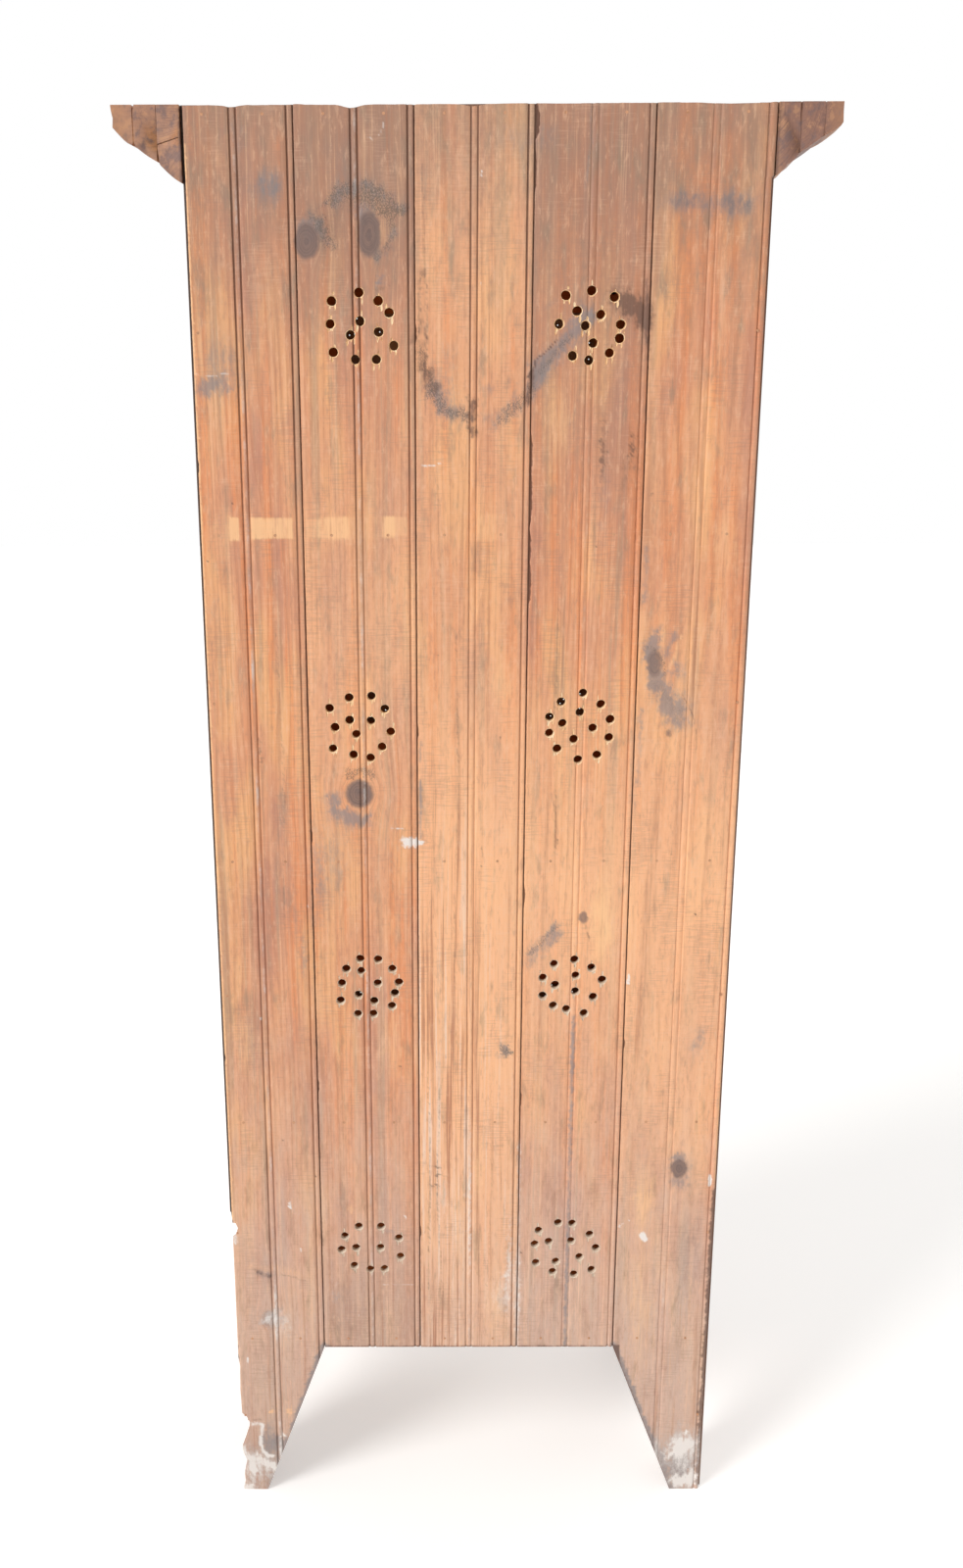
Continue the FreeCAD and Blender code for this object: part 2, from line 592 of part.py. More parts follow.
def make_cornice():
    waste = {"front": [], "left": [], "right": []}
    for name, side in SIDES:
        corner = (f"({side} * {CASE_HALF})", FRONT_Y)
        tip = (f"({side} * {CORNICE_HALF})", CORNICE_Y)
        for run, third in (("front", (f"({side} * {CORNICE_HALF})", FRONT_Y)),
                           (name, (f"({side} * {CASE_HALF})", CORNICE_Y))):
            waste[run].append(prism(
                f"mitre_{run}_{name}", "XY_Plane", (corner, tip, third),
                f"dim.inner_drop + 2 * {OVER}", z=f"{TOP} - dim.inner_drop - {OVER}"))
    for layer in LAYERS:
        outline = turned(layer_outline(
            layer, lambda reach, drop: (f"({FRONT_Y} - {reach})", f"({TOP} - {drop})")), -1)
        run = prism(f"cornice_front_{layer}_run", "YZ_Plane", outline,
                    f"2 * {CORNICE_HALF}", x=f"-{CORNICE_HALF}")
        keep(f"cornice_front_{layer}", cut(f"cornice_front_{layer}_cut", run, waste["front"]))
        for name, side in SIDES:
            outline = turned(layer_outline(
                layer, lambda reach, drop, side=side:
                (f"({side} * ({CASE_HALF} + {reach}))", f"({TOP} - {drop})")), side)
            run = prism(f"cornice_{name}_{layer}_run", "XZ_Plane", outline,
                        f"{BACK_Y} - {CORNICE_Y}", y=BACK_Y)
            keep(f"cornice_{name}_{layer}",
                 cut(f"cornice_{name}_{layer}_cut", run, waste[name]))


# ------------------------------------------------------------------ the door


def door_levels():
    """The limits of the five rails and the four tins, from the bottom up."""
    rails = []
    panels = []
    level = DOOR_LOW
    widths = ("dim.bottom_rail", "dim.mid_rail", "dim.mid_rail", "dim.mid_rail", "dim.top_rail")
    for count, width in enumerate(widths):
        rails.append((level, f"({level} + {width})"))
        level = rails[-1][1]
        if count < 4:
            panels.append((level, f"({level} + dim.panel_high)"))
            level = panels[-1][1]
    return rails, panels


def make_door_frame(rails, panels):
    door_y = (FRONT_Y, DOOR_IN_Y)
    rabbet_y = (TIN_Y, f"{DOOR_IN_Y} + {OVER}")
    for name, side in SIDES:
        node = f"door_stile_{name}"
        blank = block(f"{node}_blank", mirrored((PANEL_HALF, DOOR_HALF), side), door_y,
                      (DOOR_LOW, rails[-1][1]))
        waste = mortises(node, side, PANEL_HALF, "dim.door_thick", rails)
        for low, high in panels:
            waste.append(block(f"{node}_rabbet", mirrored(
                (f"{PANEL_HALF} - {OVER}", f"{PANEL_HALF} + dim.rabbet_wide"), side), rabbet_y,
                (f"{low} - dim.rabbet_wide", f"{high} + dim.rabbet_wide")))
        if side < 0:
            waste += [leaf_recess("door_leaf_recess", 1, centre)
                      for _, centre in hinge_places(rails[-1][1])]
        else:
            start = (f"{DOOR_HALF} - dim.knob_out_x", f"{FRONT_Y} - {OVER}", "dim.knob_up")
            waste.append(rod("knob_bore", "dim.knob_tenon", f"dim.door_thick + 2 * {OVER}",
                             start, "+y"))
        keep(node, cut(f"{node}_cut", blank, waste))
    for count, (low, high) in enumerate(rails):
        node = f"door_rail_{count + 1}"
        blank = block(f"{node}_blank", (f"-{PANEL_HALF}", PANEL_HALF), door_y, (low, high))
        wastes = []
        if count > 0:
            wastes.append((f"{low} - {OVER}", f"{low} + dim.rabbet_wide"))
        if count < 4:
            wastes.append((f"{high} - dim.rabbet_wide", f"{high} + {OVER}"))
        across = (f"-{PANEL_HALF} - {OVER}", f"{PANEL_HALF} + {OVER}")
        rabbets = [block(f"{node}_rabbet", across, rabbet_y, z) for z in wastes]
        rebated = cut(f"{node}_rebated", blank, rabbets)
        keep(node, joined(f"{node}_joined",
                          [rebated] + tenons(node, PANEL_HALF, "dim.door_thick", (low, high))))


def punched(body, base_name, start, occurrences):
    """A ring of chisel slots round a tin's centre."""
    pocket = body.newObject("PartDesign::Pocket", base_name + "_pocket")
    pocket.Profile = draw(body, base_name + "_slot", "XZ_Plane", (
        (start, "-dim.slot_wide / 2"), (f"{start} + dim.slot_long", "-dim.slot_wide / 2"),
        (f"{start} + dim.slot_long", "dim.slot_wide / 2"), (start, "dim.slot_wide / 2")))
    pocket.Type = "ThroughAll"
    pocket.Midplane = True
    ring = body.newObject("PartDesign::PolarPattern", base_name + "_ring")
    ring.Originals = [pocket]
    ring.Axis = (pocket.Profile[0], ["N_Axis"])
    ring.Angle = 360
    ring.Occurrences = occurrences
    body.Tip = ring
    return ring


def make_tins(panels):
    tin_half = f"({PANEL_HALF} + dim.rabbet_wide - dim.tin_play)"
    tin_up = "(dim.panel_high / 2 + dim.rabbet_wide - dim.tin_play)"
    for count, (low, high) in enumerate(panels):
        centre = f"(({low} + {high}) / 2)"
        node = f"tin_{count + 1}"
        tin = prism(node, "XZ_Plane", (
            (f"-{tin_half}", f"-{tin_up}"), (tin_half, f"-{tin_up}"), (tin_half, tin_up),
            (f"-{tin_half}", tin_up)), "dim.tin_thick", y=STRIP_Y, z=centre)
        punched(tin, f"{node}_near", "dim.rosette_near", 8)
        punched(tin, f"{node}_far", "dim.rosette_far", 16)
        keep(node, tin)
        strip_y = (STRIP_Y, f"{STRIP_Y} + dim.strip_thick")
        inner = "dim.rabbet_wide - dim.strip_wide"
        upright_z = (f"{low} - dim.rabbet_wide + ({inner}) / 2",
                     f"{high} + dim.rabbet_wide - ({inner}) / 2")
        strips = [block("strip", mirrored(
            (f"{PANEL_HALF} + ({inner}) / 2", f"{PANEL_HALF} + dim.rabbet_wide - ({inner}) / 2"),
            side), strip_y, upright_z) for _, side in SIDES]
        for z in ((f"{low} - dim.rabbet_wide + ({inner}) / 2", f"{low} - ({inner}) / 2"),
                  (f"{high} + ({inner}) / 2", f"{high} + dim.rabbet_wide - ({inner}) / 2")):
            strips.append(block("strip", (f"-{PANEL_HALF}", PANEL_HALF), strip_y, z))
        keep(f"tin_strips_{count + 1}", together(f"tin_strips_{count + 1}", strips))


def make_knob():
    body = doc.addObject("PartDesign::Body", "door_knob")
    sketch = draw(body, "door_knob_outline", "YZ_Plane", (
        ("dim.door_thick", "0"), ("dim.door_thick", "dim.knob_tenon"), ("0", "dim.knob_tenon"),
        ("0", "dim.knob_base"), ("-dim.knob_base_thick", "dim.knob_base"),
        ("-dim.knob_neck_start", "dim.knob_neck", "dim.knob_hollow", -1),
        ("-dim.knob_head_start", "dim.knob_head", "dim.knob_rim_round", 1),
        ("-dim.knob_head_end", "dim.knob_head", "dim.knob_dome", 1),
        ("-dim.knob_reach", "dim.knob_face"), ("-dim.knob_reach", "0")))
    turning = body.newObject("PartDesign::Revolution", "door_knob_turning")
    turning.Profile = sketch
    turning.ReferenceAxis = (sketch, ["H_Axis"])
    turning.Angle = 360
    keep("door_knob", put(body, f"{DOOR_HALF} - dim.knob_out_x", FRONT_Y, "dim.knob_up"))


# ------------------------------------------------------------------ hinges and turn button


def hinge_leaf(node, side, centre):
    """A leaf with its knuckles: side -1 is the frame's leaf, with three, and 1 the door's."""
    near = f"({HINGE_X} + {side} * dim.leaf_clear)"
    far = f"({HINGE_X} + {side} * (dim.leaf_clear + dim.leaf_thick))"
    x = (far, near) if side < 0 else (near, far)
    bottom = f"({centre} - dim.hinge_high / 2)"
    front = f"({FRONT_Y} + dim.leaf_setback)"
    plate = block(f"{node}_plate", x, (front, f"{front} + dim.leaf_wide"),
                  (bottom, f"{bottom} + dim.hinge_high"))
    bore = "dim.pin_round" if side < 0 else "dim.pin_round + dim.pin_play"
    solids = [plate]
    for knuckle in ((0, 2, 4) if side < 0 else (1, 3)):
        low = f"({bottom} + {knuckle} * dim.hinge_high / 5 + dim.knuckle_clear / 2)"
        high = f"({low} + dim.hinge_high / 5 - dim.knuckle_clear)"
        solids.append(block(f"{node}_tab", x, (HINGE_Y, f"{front} + {OVER}"), (low, high)))
        solids.append(rod(f"{node}_knuckle", "dim.knuckle_round",
                          "dim.hinge_high / 5 - dim.knuckle_clear", (HINGE_X, HINGE_Y, low), "+z"))
    waste = [rod(f"{node}_bore", bore, f"dim.hinge_high + 2 * {OVER}",
                 (HINGE_X, HINGE_Y, f"{bottom} - {OVER}"), "+z")]
    for place in screw_places(centre):
        waste.append(cone(f"{node}_countersink", ("dim.screw_head_round", "dim.screw_round"),
                          "dim.leaf_thick", (near,) + place, "-x" if side < 0 else "+x"))
    keep(node, cut(f"{node}_cut", joined(f"{node}_blank", solids), waste))


def screw_places(centre):
    middle = f"{FRONT_Y} + dim.leaf_setback + dim.leaf_wide / 2"
    return [(f"{middle} + {offset}", f"{centre} + {step} * dim.screw_spread")
            for step, offset in ((-1, 3), (0, -2), (1, 3))]


def hinge_screws(node, side, centres):
    screws = []
    near = f"({HINGE_X} + {side} * dim.leaf_clear)"
    back = f"({HINGE_X} + {side} * (dim.leaf_clear + dim.leaf_thick))"
    direction = "-x" if side < 0 else "+x"
    for centre in centres:
        for place in screw_places(centre):
            head = cone("screw_head", ("dim.screw_head_round", "dim.screw_round"),
                        "dim.leaf_thick", (near,) + place, direction)
            shank = rod("screw_shank", "dim.screw_round", "dim.screw_long", (back,) + place,
                        direction)
            screws.append(joined("screw", [head, shank]))
    keep(node, together(node, screws))


def make_hinges(door_top):
    pins = []
    places = hinge_places(door_top)
    for name, centre in places:
        hinge_leaf(f"hinge_frame_leaf_{name}", -1, centre)
        hinge_leaf(f"hinge_door_leaf_{name}", 1, centre)
        bottom = f"({centre} - dim.hinge_high / 2)"
        top = f"({centre} + dim.hinge_high / 2)"
        pins.append(joined("hinge_pin", [
            rod("pin_shank", "dim.pin_round", "dim.hinge_high", (HINGE_X, HINGE_Y, bottom), "+z"),
            cone("pin_foot", ("dim.pin_round", "dim.pin_cap_round"), "dim.pin_tip",
                 (HINGE_X, HINGE_Y, f"{bottom} - dim.pin_tip"), "+z"),
            cone("pin_cap", ("dim.pin_cap_round", "dim.pin_round"), "dim.pin_tip",
                 (HINGE_X, HINGE_Y, top), "+z")]))
    keep("hinge_pins", together("hinge_pins", pins))
    centres = [centre for _, centre in places]
    hinge_screws("hinge_frame_screws", -1, centres)
    hinge_screws("hinge_door_screws", 1, centres)


def make_turn_button():
    """The wooden button that holds the door shut, upright when the door is free."""
    screw_x = f"({OPENING_HALF} + dim.button_in)"
    back = f"({FRONT_Y} - dim.washer_thick - dim.button_clear)"
    front = f"({back} - dim.button_thick)"
    outline = (
        ("dim.button_waist", "0"),
        ("dim.button_end", "dim.button_shoulder", "dim.button_end_round", 1),
        ("-dim.button_end", "dim.button_shoulder"), ("-dim.button_waist", "0"),
        ("-dim.button_end", "-dim.button_shoulder", "dim.button_end_round", 1),
        ("dim.button_end", "-dim.button_shoulder"))
    blank = prism("turn_button_blank", "XZ_Plane", outline, "dim.button_thick", x=screw_x, y=back,
                  z="dim.button_up")
    bore = rod("turn_button_bore", "dim.button_screw_round + dim.pin_play",
               f"dim.button_thick + 2 * {OVER}", (screw_x, f"{front} - {OVER}", "dim.button_up"),
               "+y")
    keep("turn_button", cut("turn_button_cut", blank, [bore]))
    seat = f"({front} - dim.button_clear)"
    shank = rod("button_screw_shank", "dim.button_screw_round",
                f"{FRONT_Y} + dim.button_screw_long - {seat}",
                (screw_x, seat, "dim.button_up"), "+y")
    head = cone("button_screw_head", ("dim.button_head_round", "dim.button_head_round * 0.6"),
                "dim.button_head_high", (screw_x, seat, "dim.button_up"), "-y")
    keep("turn_button_screw", joined("turn_button_screw_joined", [shank, head]))
    washer = rod("washer_disc", "dim.washer_round", "dim.washer_thick",
                 (screw_x, FRONT_Y, "dim.button_up"), "-y")
    hole = rod("washer_hole", "dim.button_screw_round", f"dim.washer_thick + 2 * {OVER}",
               (screw_x, f"{FRONT_Y} + {OVER}", "dim.button_up"), "-y")
    keep("turn_button_washer", cut("turn_button_washer_cut", washer, [hole]))


def make_door_stop():
    x = (f"{DOOR_HALF} - dim.stop_lap", f"{DOOR_HALF} - dim.stop_lap + dim.stop_wide")
    middle = "((dim.shelf_low_top + dim.shelf_middle_top) / 2)"
    keep("door_stop", block("door_stop", x, (FRAME_IN_Y, f"{FRAME_IN_Y} + dim.stop_thick"),
                            (f"{middle} - dim.stop_long / 2", f"{middle} + dim.stop_long / 2")))


# ------------------------------------------------------------------ nails, brads and pegs


def nail(start, direction):
    """A wire nail driven flush. It starts at the face that its head is in."""
    head = rod("nail_head", "dim.nail_head_round", "dim.nail_head_high", start, direction)
    shank = rod("nail_shank", "dim.nail_round", "dim.nail_long", start, direction)
    return joined("nail", [head, shank])


def make_back_nails():
    centres = [f"{FIRST_JOINT} + dim.board_face / 2"]
    centres += [f"{FIRST_JOINT} - {step + 0.5} * dim.board_face" for step in range(4)]
    levels = [f"{TOP} - dim.top_thick / 2", "dim.bottom_top - dim.bottom_thick / 2"]
    levels += [f"{top} - dim.shelf_thick / 2" for _, top in LEVELS]
    nails = []
    for level in levels:
        for centre in centres:
            for step in (-1, 1):
                nails.append(nail((f"{centre} + {step} * dim.board_face / 4", BACK_Y, level),
                                  "-y"))
    for _, side in SIDES:
        for low, high in (("0", levels[1]), (levels[1], levels[4]), (levels[4], levels[3]),
                          (levels[3], levels[2]), (levels[2], levels[0])):
            nails.append(nail((f"{side} * ({BACK_HALF} - dim.nail_edge)", BACK_Y,
                               f"(({low}) + ({high})) / 2"), "-y"))
    keep("back_nails", together("back_nails", nails))


def make_front_nails():
    """Nails through the face frame into the side planks' edges."""
    nails = []
    for _, side in SIDES:
        for step in range(6):
            nails.append(nail((f"{side} * ({CASE_HALF} - dim.side_thick / 2)", FRONT_Y,
                               f"dim.frame_nail_low + {step} * dim.frame_nail_step"), "+y"))
    keep("frame_nails", together("frame_nails", nails))


def make_cornice_nails():
    level = f"{TOP} - dim.fascia_high / 2"
    nails = [nail((f"{step} * dim.cornice_front_step", CORNICE_Y, level), "+y")
             for step in (-2, -1, 0, 1, 2)]
    for _, side in SIDES:
        for step in (-1, 0, 1):
            nails.append(nail((f"{side} * {CORNICE_HALF}", f"{step} * dim.cornice_side_step",
                               level), "-x" if side > 0 else "+x"))
    keep("cornice_nails", together("cornice_nails", nails))


def make_brads(panels):
    """Brads through the strips into the rabbets' floors."""
    start = f"{STRIP_Y} + dim.strip_thick"
    brads = []
    for low, high in panels:
        for _, side in SIDES:
            for share in BRAD_SHARES:
                brads.append(rod("brad", "dim.brad_round", "dim.brad_long", (
                    f"{side} * ({PANEL_HALF} + dim.rabbet_wide / 2)", start,
                    f"{low} + {share} * dim.panel_high"), "-y"))
            for z in (f"{low} - dim.rabbet_wide / 2", f"{high} + dim.rabbet_wide / 2"):
                brads.append(rod("brad", "dim.brad_round", "dim.brad_long", (
                    f"{side} * {PANEL_HALF} / 2", start, z), "-y"))
    keep("strip_brads", together("strip_brads", brads))


def make_pegs(rails):
    """Draw-bore pegs, two through each joint of the door."""
    pegs = []
    for low, high in rails:
        for _, side in SIDES:
            for share in PEG_SHARES:
                pegs.append(rod("peg", "dim.peg_bore / 2", "dim.door_thick", (
                    f"{side} * ({PANEL_HALF} + dim.tenon_long / 2)", FRONT_Y,
                    f"{low} + {share} * ({high} - {low})"), "+y"))
    keep("door_pegs", together("door_pegs", pegs))


# ------------------------------------------------------------------ build, test, write


def make_all():
    rails, panels = door_levels()
    door_top = rails[-1][1]
    make_back()
    make_side_planks()
    make_shelves()
    make_face_frame(door_top)
    make_cornice()
    make_door_frame(rails, panels)
    make_tins(panels)
    make_knob()
    make_hinges(door_top)
    make_turn_button()
    make_door_stop()
    make_back_nails()
    make_front_nails()
    make_cornice_nails()
    make_brads(panels)
    make_pegs(rails)


def write_nodes():
    doc.recompute()
    for piece in doc.Objects:
        if "Invalid" in piece.State or "Error" in piece.State:
            raise RuntimeError(f"{piece.Label} failed: {piece.State}")
    for piece in nodes:
        if piece.Shape.isNull() or not piece.Shape.isValid():
            raise RuntimeError(f"{piece.Label} has no valid shape")
    os.makedirs("parts", exist_ok=True)
    for piece in nodes:
        piece.Shape.exportStep(f"parts/{piece.Label}.step")
        box = piece.Shape.BoundBox
        print(f"{piece.Label}: {len(piece.Shape.Solids)} solids,"
              f" x {box.XMin:.1f} {box.XMax:.1f}, y {box.YMin:.1f} {box.YMax:.1f},"
              f" z {box.ZMin:.1f} {box.ZMax:.1f}, {piece.Shape.Volume / 1000:.1f} cm3")
    print(f"{len(nodes)} nodes")


make_all()
write_nodes()
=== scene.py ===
# %% [markdown]
# # A pine pie safe, seen from its beaded back
# A pie safe is a cupboard for baked food: boards nailed to two side planks, holes that let
# air in, and a door with punched tins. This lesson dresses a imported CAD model, which gives the
# sizes, the places and the joints. Each step says what a piece is on the real cupboard, how it
# could be made in Blender and why it is made the way it is here. +Z is up, the back faces +Y
# and the door faces -Y. Sizes are written in millimetres and multiplied by MM.

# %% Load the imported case, door and turn button
from math import cos, pi, radians, sin
import bmesh
import bpy
import numpy as np
from mathutils import Matrix, Vector


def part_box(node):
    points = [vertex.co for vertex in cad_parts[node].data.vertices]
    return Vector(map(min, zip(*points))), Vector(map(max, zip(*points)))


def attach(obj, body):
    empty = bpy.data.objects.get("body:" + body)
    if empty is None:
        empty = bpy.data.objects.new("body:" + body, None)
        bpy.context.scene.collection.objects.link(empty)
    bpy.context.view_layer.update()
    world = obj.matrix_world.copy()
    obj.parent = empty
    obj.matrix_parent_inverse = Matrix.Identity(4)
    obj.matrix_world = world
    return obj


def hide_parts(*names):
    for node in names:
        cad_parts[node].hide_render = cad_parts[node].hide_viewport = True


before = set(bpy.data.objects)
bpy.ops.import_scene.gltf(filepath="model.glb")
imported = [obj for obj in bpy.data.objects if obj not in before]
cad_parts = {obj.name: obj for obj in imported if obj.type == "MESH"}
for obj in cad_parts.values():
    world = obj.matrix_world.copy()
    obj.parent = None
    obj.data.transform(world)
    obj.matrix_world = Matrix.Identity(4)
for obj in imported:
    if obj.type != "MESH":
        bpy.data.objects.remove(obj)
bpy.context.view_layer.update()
MM = 0.001

# %% [markdown]
# ## Camera
# The view is a level-headed look at the back from standing height. A lens is a choice between
# a long one far off, which makes edges parallel, and a short one near by, which makes the feet
# narrower than the top. The second is what is wanted here, with a small sideways shift.

# %% Camera
def link(name, data, *materials):
    """A new object for a mesh, a lamp or a camera, with its materials."""
    made = bpy.data.objects.new(name, data)
    bpy.context.scene.collection.objects.link(made)
    for one in materials:
        data.materials.append(one)
    return made


STAND = Vector((55.8, 2090.5, 1618.3)) * MM
PITCH, YAW, ROLL = 16.917, 0.272, -0.25
camera = link("back_view", bpy.data.cameras.new("back_view"))
camera.data.lens, camera.data.shift_x = 36.09, 0.0375
aim = Matrix.Translation(STAND)
for turn, axis in ((180 + YAW, "Z"), (90 - PITCH, "X"), (ROLL, "Z")):
    aim = aim @ Matrix.Rotation(radians(turn), 4, axis)
camera.matrix_world = aim
bpy.context.scene.camera = camera
print("camera stands at", tuple(round(v, 3) for v in STAND), "and looks", PITCH, "degrees down")

# %% [markdown]
# ## One way to add a node
# Materials, the world and Geometry Nodes trees are all built from nodes. Clicking them together
# is quick but can't be read back, so one small function adds a node, sets it, feeds its sockets
# by name or by position, and gives back one output. A value may be a number, a hex colour or
# another node's output. Most kinds are shader nodes, so that part of their name is left out.

# %% Colours and nodes
def colour(code):
    """An sRGB hex colour as the linear values that a shader works with."""
    values = [int(code[i:i + 2], 16) / 255 for i in (1, 3, 5)]
    return tuple(v / 12.92 if v <= 0.04045 else ((v + 0.055) / 1.055) ** 2.4 for v in values) + (1.0,)


def feed(node, feeds):
    """Links outputs to a node's sockets or sets their values, by name or by position."""
    for key, value in feeds.items() if isinstance(feeds, dict) else enumerate(feeds):
        for one in value if isinstance(value, list) else [value]:
            if isinstance(one, bpy.types.NodeSocket):
                node.id_data.links.new(one, node.inputs[key])
            else:
                node.inputs[key].default_value = colour(one) if str(one).startswith("#") else one


def add(tree, kind, feeds=(), out=0, **settings):
    """Adds a node with its settings and links, and gives back its output number out."""
    made = tree.nodes.new(kind if "Node" in kind else "ShaderNode" + kind)
    for key, value in settings.items():
        setattr(made, key, value)
    feed(made, feeds)
    return made.outputs[out] if made.outputs else made


print("warm pine, linear:", [round(v, 3) for v in colour("#DCA583")])

# %% [markdown]
# ## Light and floor
# Daylight from an open sky is soft and comes from everywhere, a little more from one side.
# Area lamps could make it, but they fall off with distance. A plain world gives the sky, and
# two wide suns give the side light, so that a colour renders about as it is written. Only the
# camera and mirror-like rays see the world as plain white.

# %% World and suns
def seen_directly(tree):
    """1 for rays from the camera, a mirror or a glass, and 0 for the light that bounces about."""
    ray = add(tree, "LightPath").node.outputs
    seen = add(tree, "Math", (ray["Is Camera Ray"], ray["Is Glossy Ray"]), operation="MAXIMUM")
    return add(tree, "Math", (seen, ray["Is Transmission Ray"]), operation="MAXIMUM")


SKY_LEVEL = 0.52        # how bright the sky is as a light
world = bpy.data.worlds.new("open_sky")
bpy.context.scene.world = world
world.use_nodes = True
world.node_tree.nodes.clear()
level = add(world.node_tree, "MapRange",
            {"Value": seen_directly(world.node_tree), "To Min": SKY_LEVEL, "To Max": 1.0})
sky = add(world.node_tree, "Background", ((1, 1, 1, 1), level))
add(world.node_tree, "OutputWorld", (sky,))
bpy.context.scene.view_settings.view_transform = "Standard"

for name, strength, width, comes_from in (
        ("sun_on_back", 2.3, 24, (1.3, 1.0, 1.05)),
        ("sun_on_front", 0.85, 45, (-0.7, -1.2, 0.9))):
    lamp = link(name, bpy.data.lights.new(name, "SUN"))
    lamp.data.energy, lamp.data.angle = strength, radians(width)
    lamp.rotation_euler = Vector(comes_from).to_track_quat("Z", "Y").to_euler()
    print(name, "strength", strength)

# %% [markdown]
# ## Daylight behind the vent holes
# Some light comes through the tins and bounces about on bare wood, so the inside of the real
# cupboard is dark brown and not black. That takes very many bounces to render. One weak warm
# lamp in each compartment, hidden from the camera, gives the same brown behind the holes.

# %% Weak lamps between the shelves
INSIDE_LAMPS = (420, 770, 1150, 1590)       # height of each, mm
for height in INSIDE_LAMPS:
    lamp = link("light_inside", bpy.data.lights.new("light_inside", "POINT"))
    lamp.data.energy, lamp.data.color, lamp.data.shadow_soft_size = 0.22, (1.0, 0.42, 0.17), 40 * MM
    lamp.location = Vector((0, 40, height)) * MM
    lamp.visible_camera = False
print("lamps inside:", len(INSIDE_LAMPS))

# %% [markdown]
# ## The floor
# A pale studio floor has no edge in view and shows where the feet touch it. A big plane with a
# matt white finish does that. For the camera it glows a little, so that it meets the white
# background without a horizon and still takes the shadow of the cupboard.

# %% Floor
def fresh_material(name):
    """An empty material with its Principled shader: gives the material, its tree and the shader."""
    made = bpy.data.materials.new(name)
    made.use_nodes = True
    made.node_tree.nodes.clear()
    shader = add(made.node_tree, "BsdfPrincipled").node
    add(made.node_tree, "OutputMaterial", (shader.outputs[0],))
    return made, made.node_tree, shader


def plotted(name, points, faces=()):
    """A mesh from points in millimetres."""
    mesh = bpy.data.meshes.new(name)
    mesh.from_pydata((np.array(points) * MM).tolist(), [], faces)
    return mesh


white_floor, tree, shader = fresh_material("matt_white_floor")
FLOOR_GLOW = 0.42       # how much light of its own the floor shows to the camera
glow = add(tree, "Math", (seen_directly(tree), FLOOR_GLOW), operation="MULTIPLY")
feed(shader, {"Base Color": "#E4E2DF", "Roughness": 0.9, "Specular IOR Level": 0.0,
              "Emission Color": (1, 1, 1, 1), "Emission Strength": glow})
HALF_FLOOR = 9000       # mm
corners = [(x * HALF_FLOOR, y * HALF_FLOOR, -0.5) for x, y in ((-1, -1), (1, -1), (1, 1), (-1, 1))]
link("floor", plotted("floor", corners, [(0, 1, 2, 3)]), white_floor)
print("floor is", 2 * HALF_FLOOR * MM, "m wide")

# %% [markdown]
# ## Old stained pine on the boards
# Yellow pine was planed, stained and left to darken. The eye sees long fibres, darker growth
# lines that bend round the knots, fine marks of the saw across the grain, grey bloom and a dull
# satin sheen. An image could hold all that, but it would not fit other boards. Here noise is
# stretched along the grain, and the board's own attributes say where the knots, stains and worn
# places are. Pine has an IOR of about 1.5 and a rough surface.

# %% Stained pine for the beaded boards
def grown(tree, layers):
    """Noise for each layer: (name, place socket, grain size in mm along x, y, z, detail, roughness)."""
    made = {}
    for name, source, size, detail, rough in layers:
        sized = add(tree, "VectorMath", (source, tuple(1 / s for s in size)), operation="MULTIPLY")
        made[name] = add(tree, "TexNoise",
                         {"Vector": sized, "Scale": 1.0, "Detail": detail, "Roughness": rough})
    return made


def stained(tree, paint, drive, coats):
    """Lays coats over a colour: (name of its driver, where it starts, where it is full, strength, tint)."""
    for name, start, full, strength, tint in coats:
        amount = add(tree, "MapRange", (drive[name], start, full, 0.0, strength),
                     interpolation_type="SMOOTHSTEP")
        paint = add(tree, "Mix", {0: amount, 6: paint, 7: tint}, out=2, data_type="RGBA")
    return paint


def millimetres(tree):
    """Object coordinates in millimetres."""
    here = add(tree, "TexCoord", out=3)
    return add(tree, "VectorMath", {0: here, "Scale": 1 / MM}, operation="SCALE")


def satin(tree, shader, paint, streak, smooth, relief, strength):
    """Ends a wood: its colour, a streaky satin sheen, the IOR of wood and a fine relief."""
    sheen = add(tree, "MapRange", (streak, 0.3, 0.7, smooth, 0.68))
    bump = add(tree, "Bump", {"Height": relief, "Distance": 0.6 * MM, "Strength": strength})
    feed(shader, {"Base Color": paint, "Roughness": sheen, "IOR": 1.5, "Normal": bump})


beaded_pine, tree, shader = fresh_material("stained_yellow_pine_boards")
place = millimetres(tree)
split = add(tree, "SeparateXYZ", (place,)).node.outputs
flow = add(tree, "Attribute", out=2, attribute_name="flow")
grain = add(tree, "CombineXYZ", (flow, split["Y"], split["Z"]))
drive = grown(tree, (
    ("streak", grain, (4.2, 4.2, 260), 4, 0.62), ("fibre", grain, (1.1, 1.1, 42), 2, 0.55),
    ("amber", grain, (15, 15, 420), 3, 0.55), ("warp", grain, (36, 36, 560), 1, 0.5),
    ("bloom", place, (18, 18, 72), 5, 0.64), ("glow", place, (48, 48, 210), 3, 0.5),
    ("blade", place, (26, 26, 2.0), 3, 0.6), ("blade_place", place, (45, 45, 90), 2, 0.5),
    ("ragged", place, (4.5, 4.5, 9), 6, 0.72), ("brushed", place, (2.4, 2.4, 40), 3, 0.65),
    ("fleck", place, (1.6, 1.6, 4.5), 2, 0.5), ("mottle", place, (4, 4, 17), 4, 0.65),
    ("speck", place, (1.0, 1.0, 2.0), 3, 0.65)))
RING_GAP = 7.5      # mm between growth lines
ring = add(tree, "Math", (drive["warp"], 46.0, flow), operation="MULTIPLY_ADD")
ring = add(tree, "Math", (ring, RING_GAP), operation="DIVIDE")
ring = add(tree, "Math", (ring,), operation="FRACT")
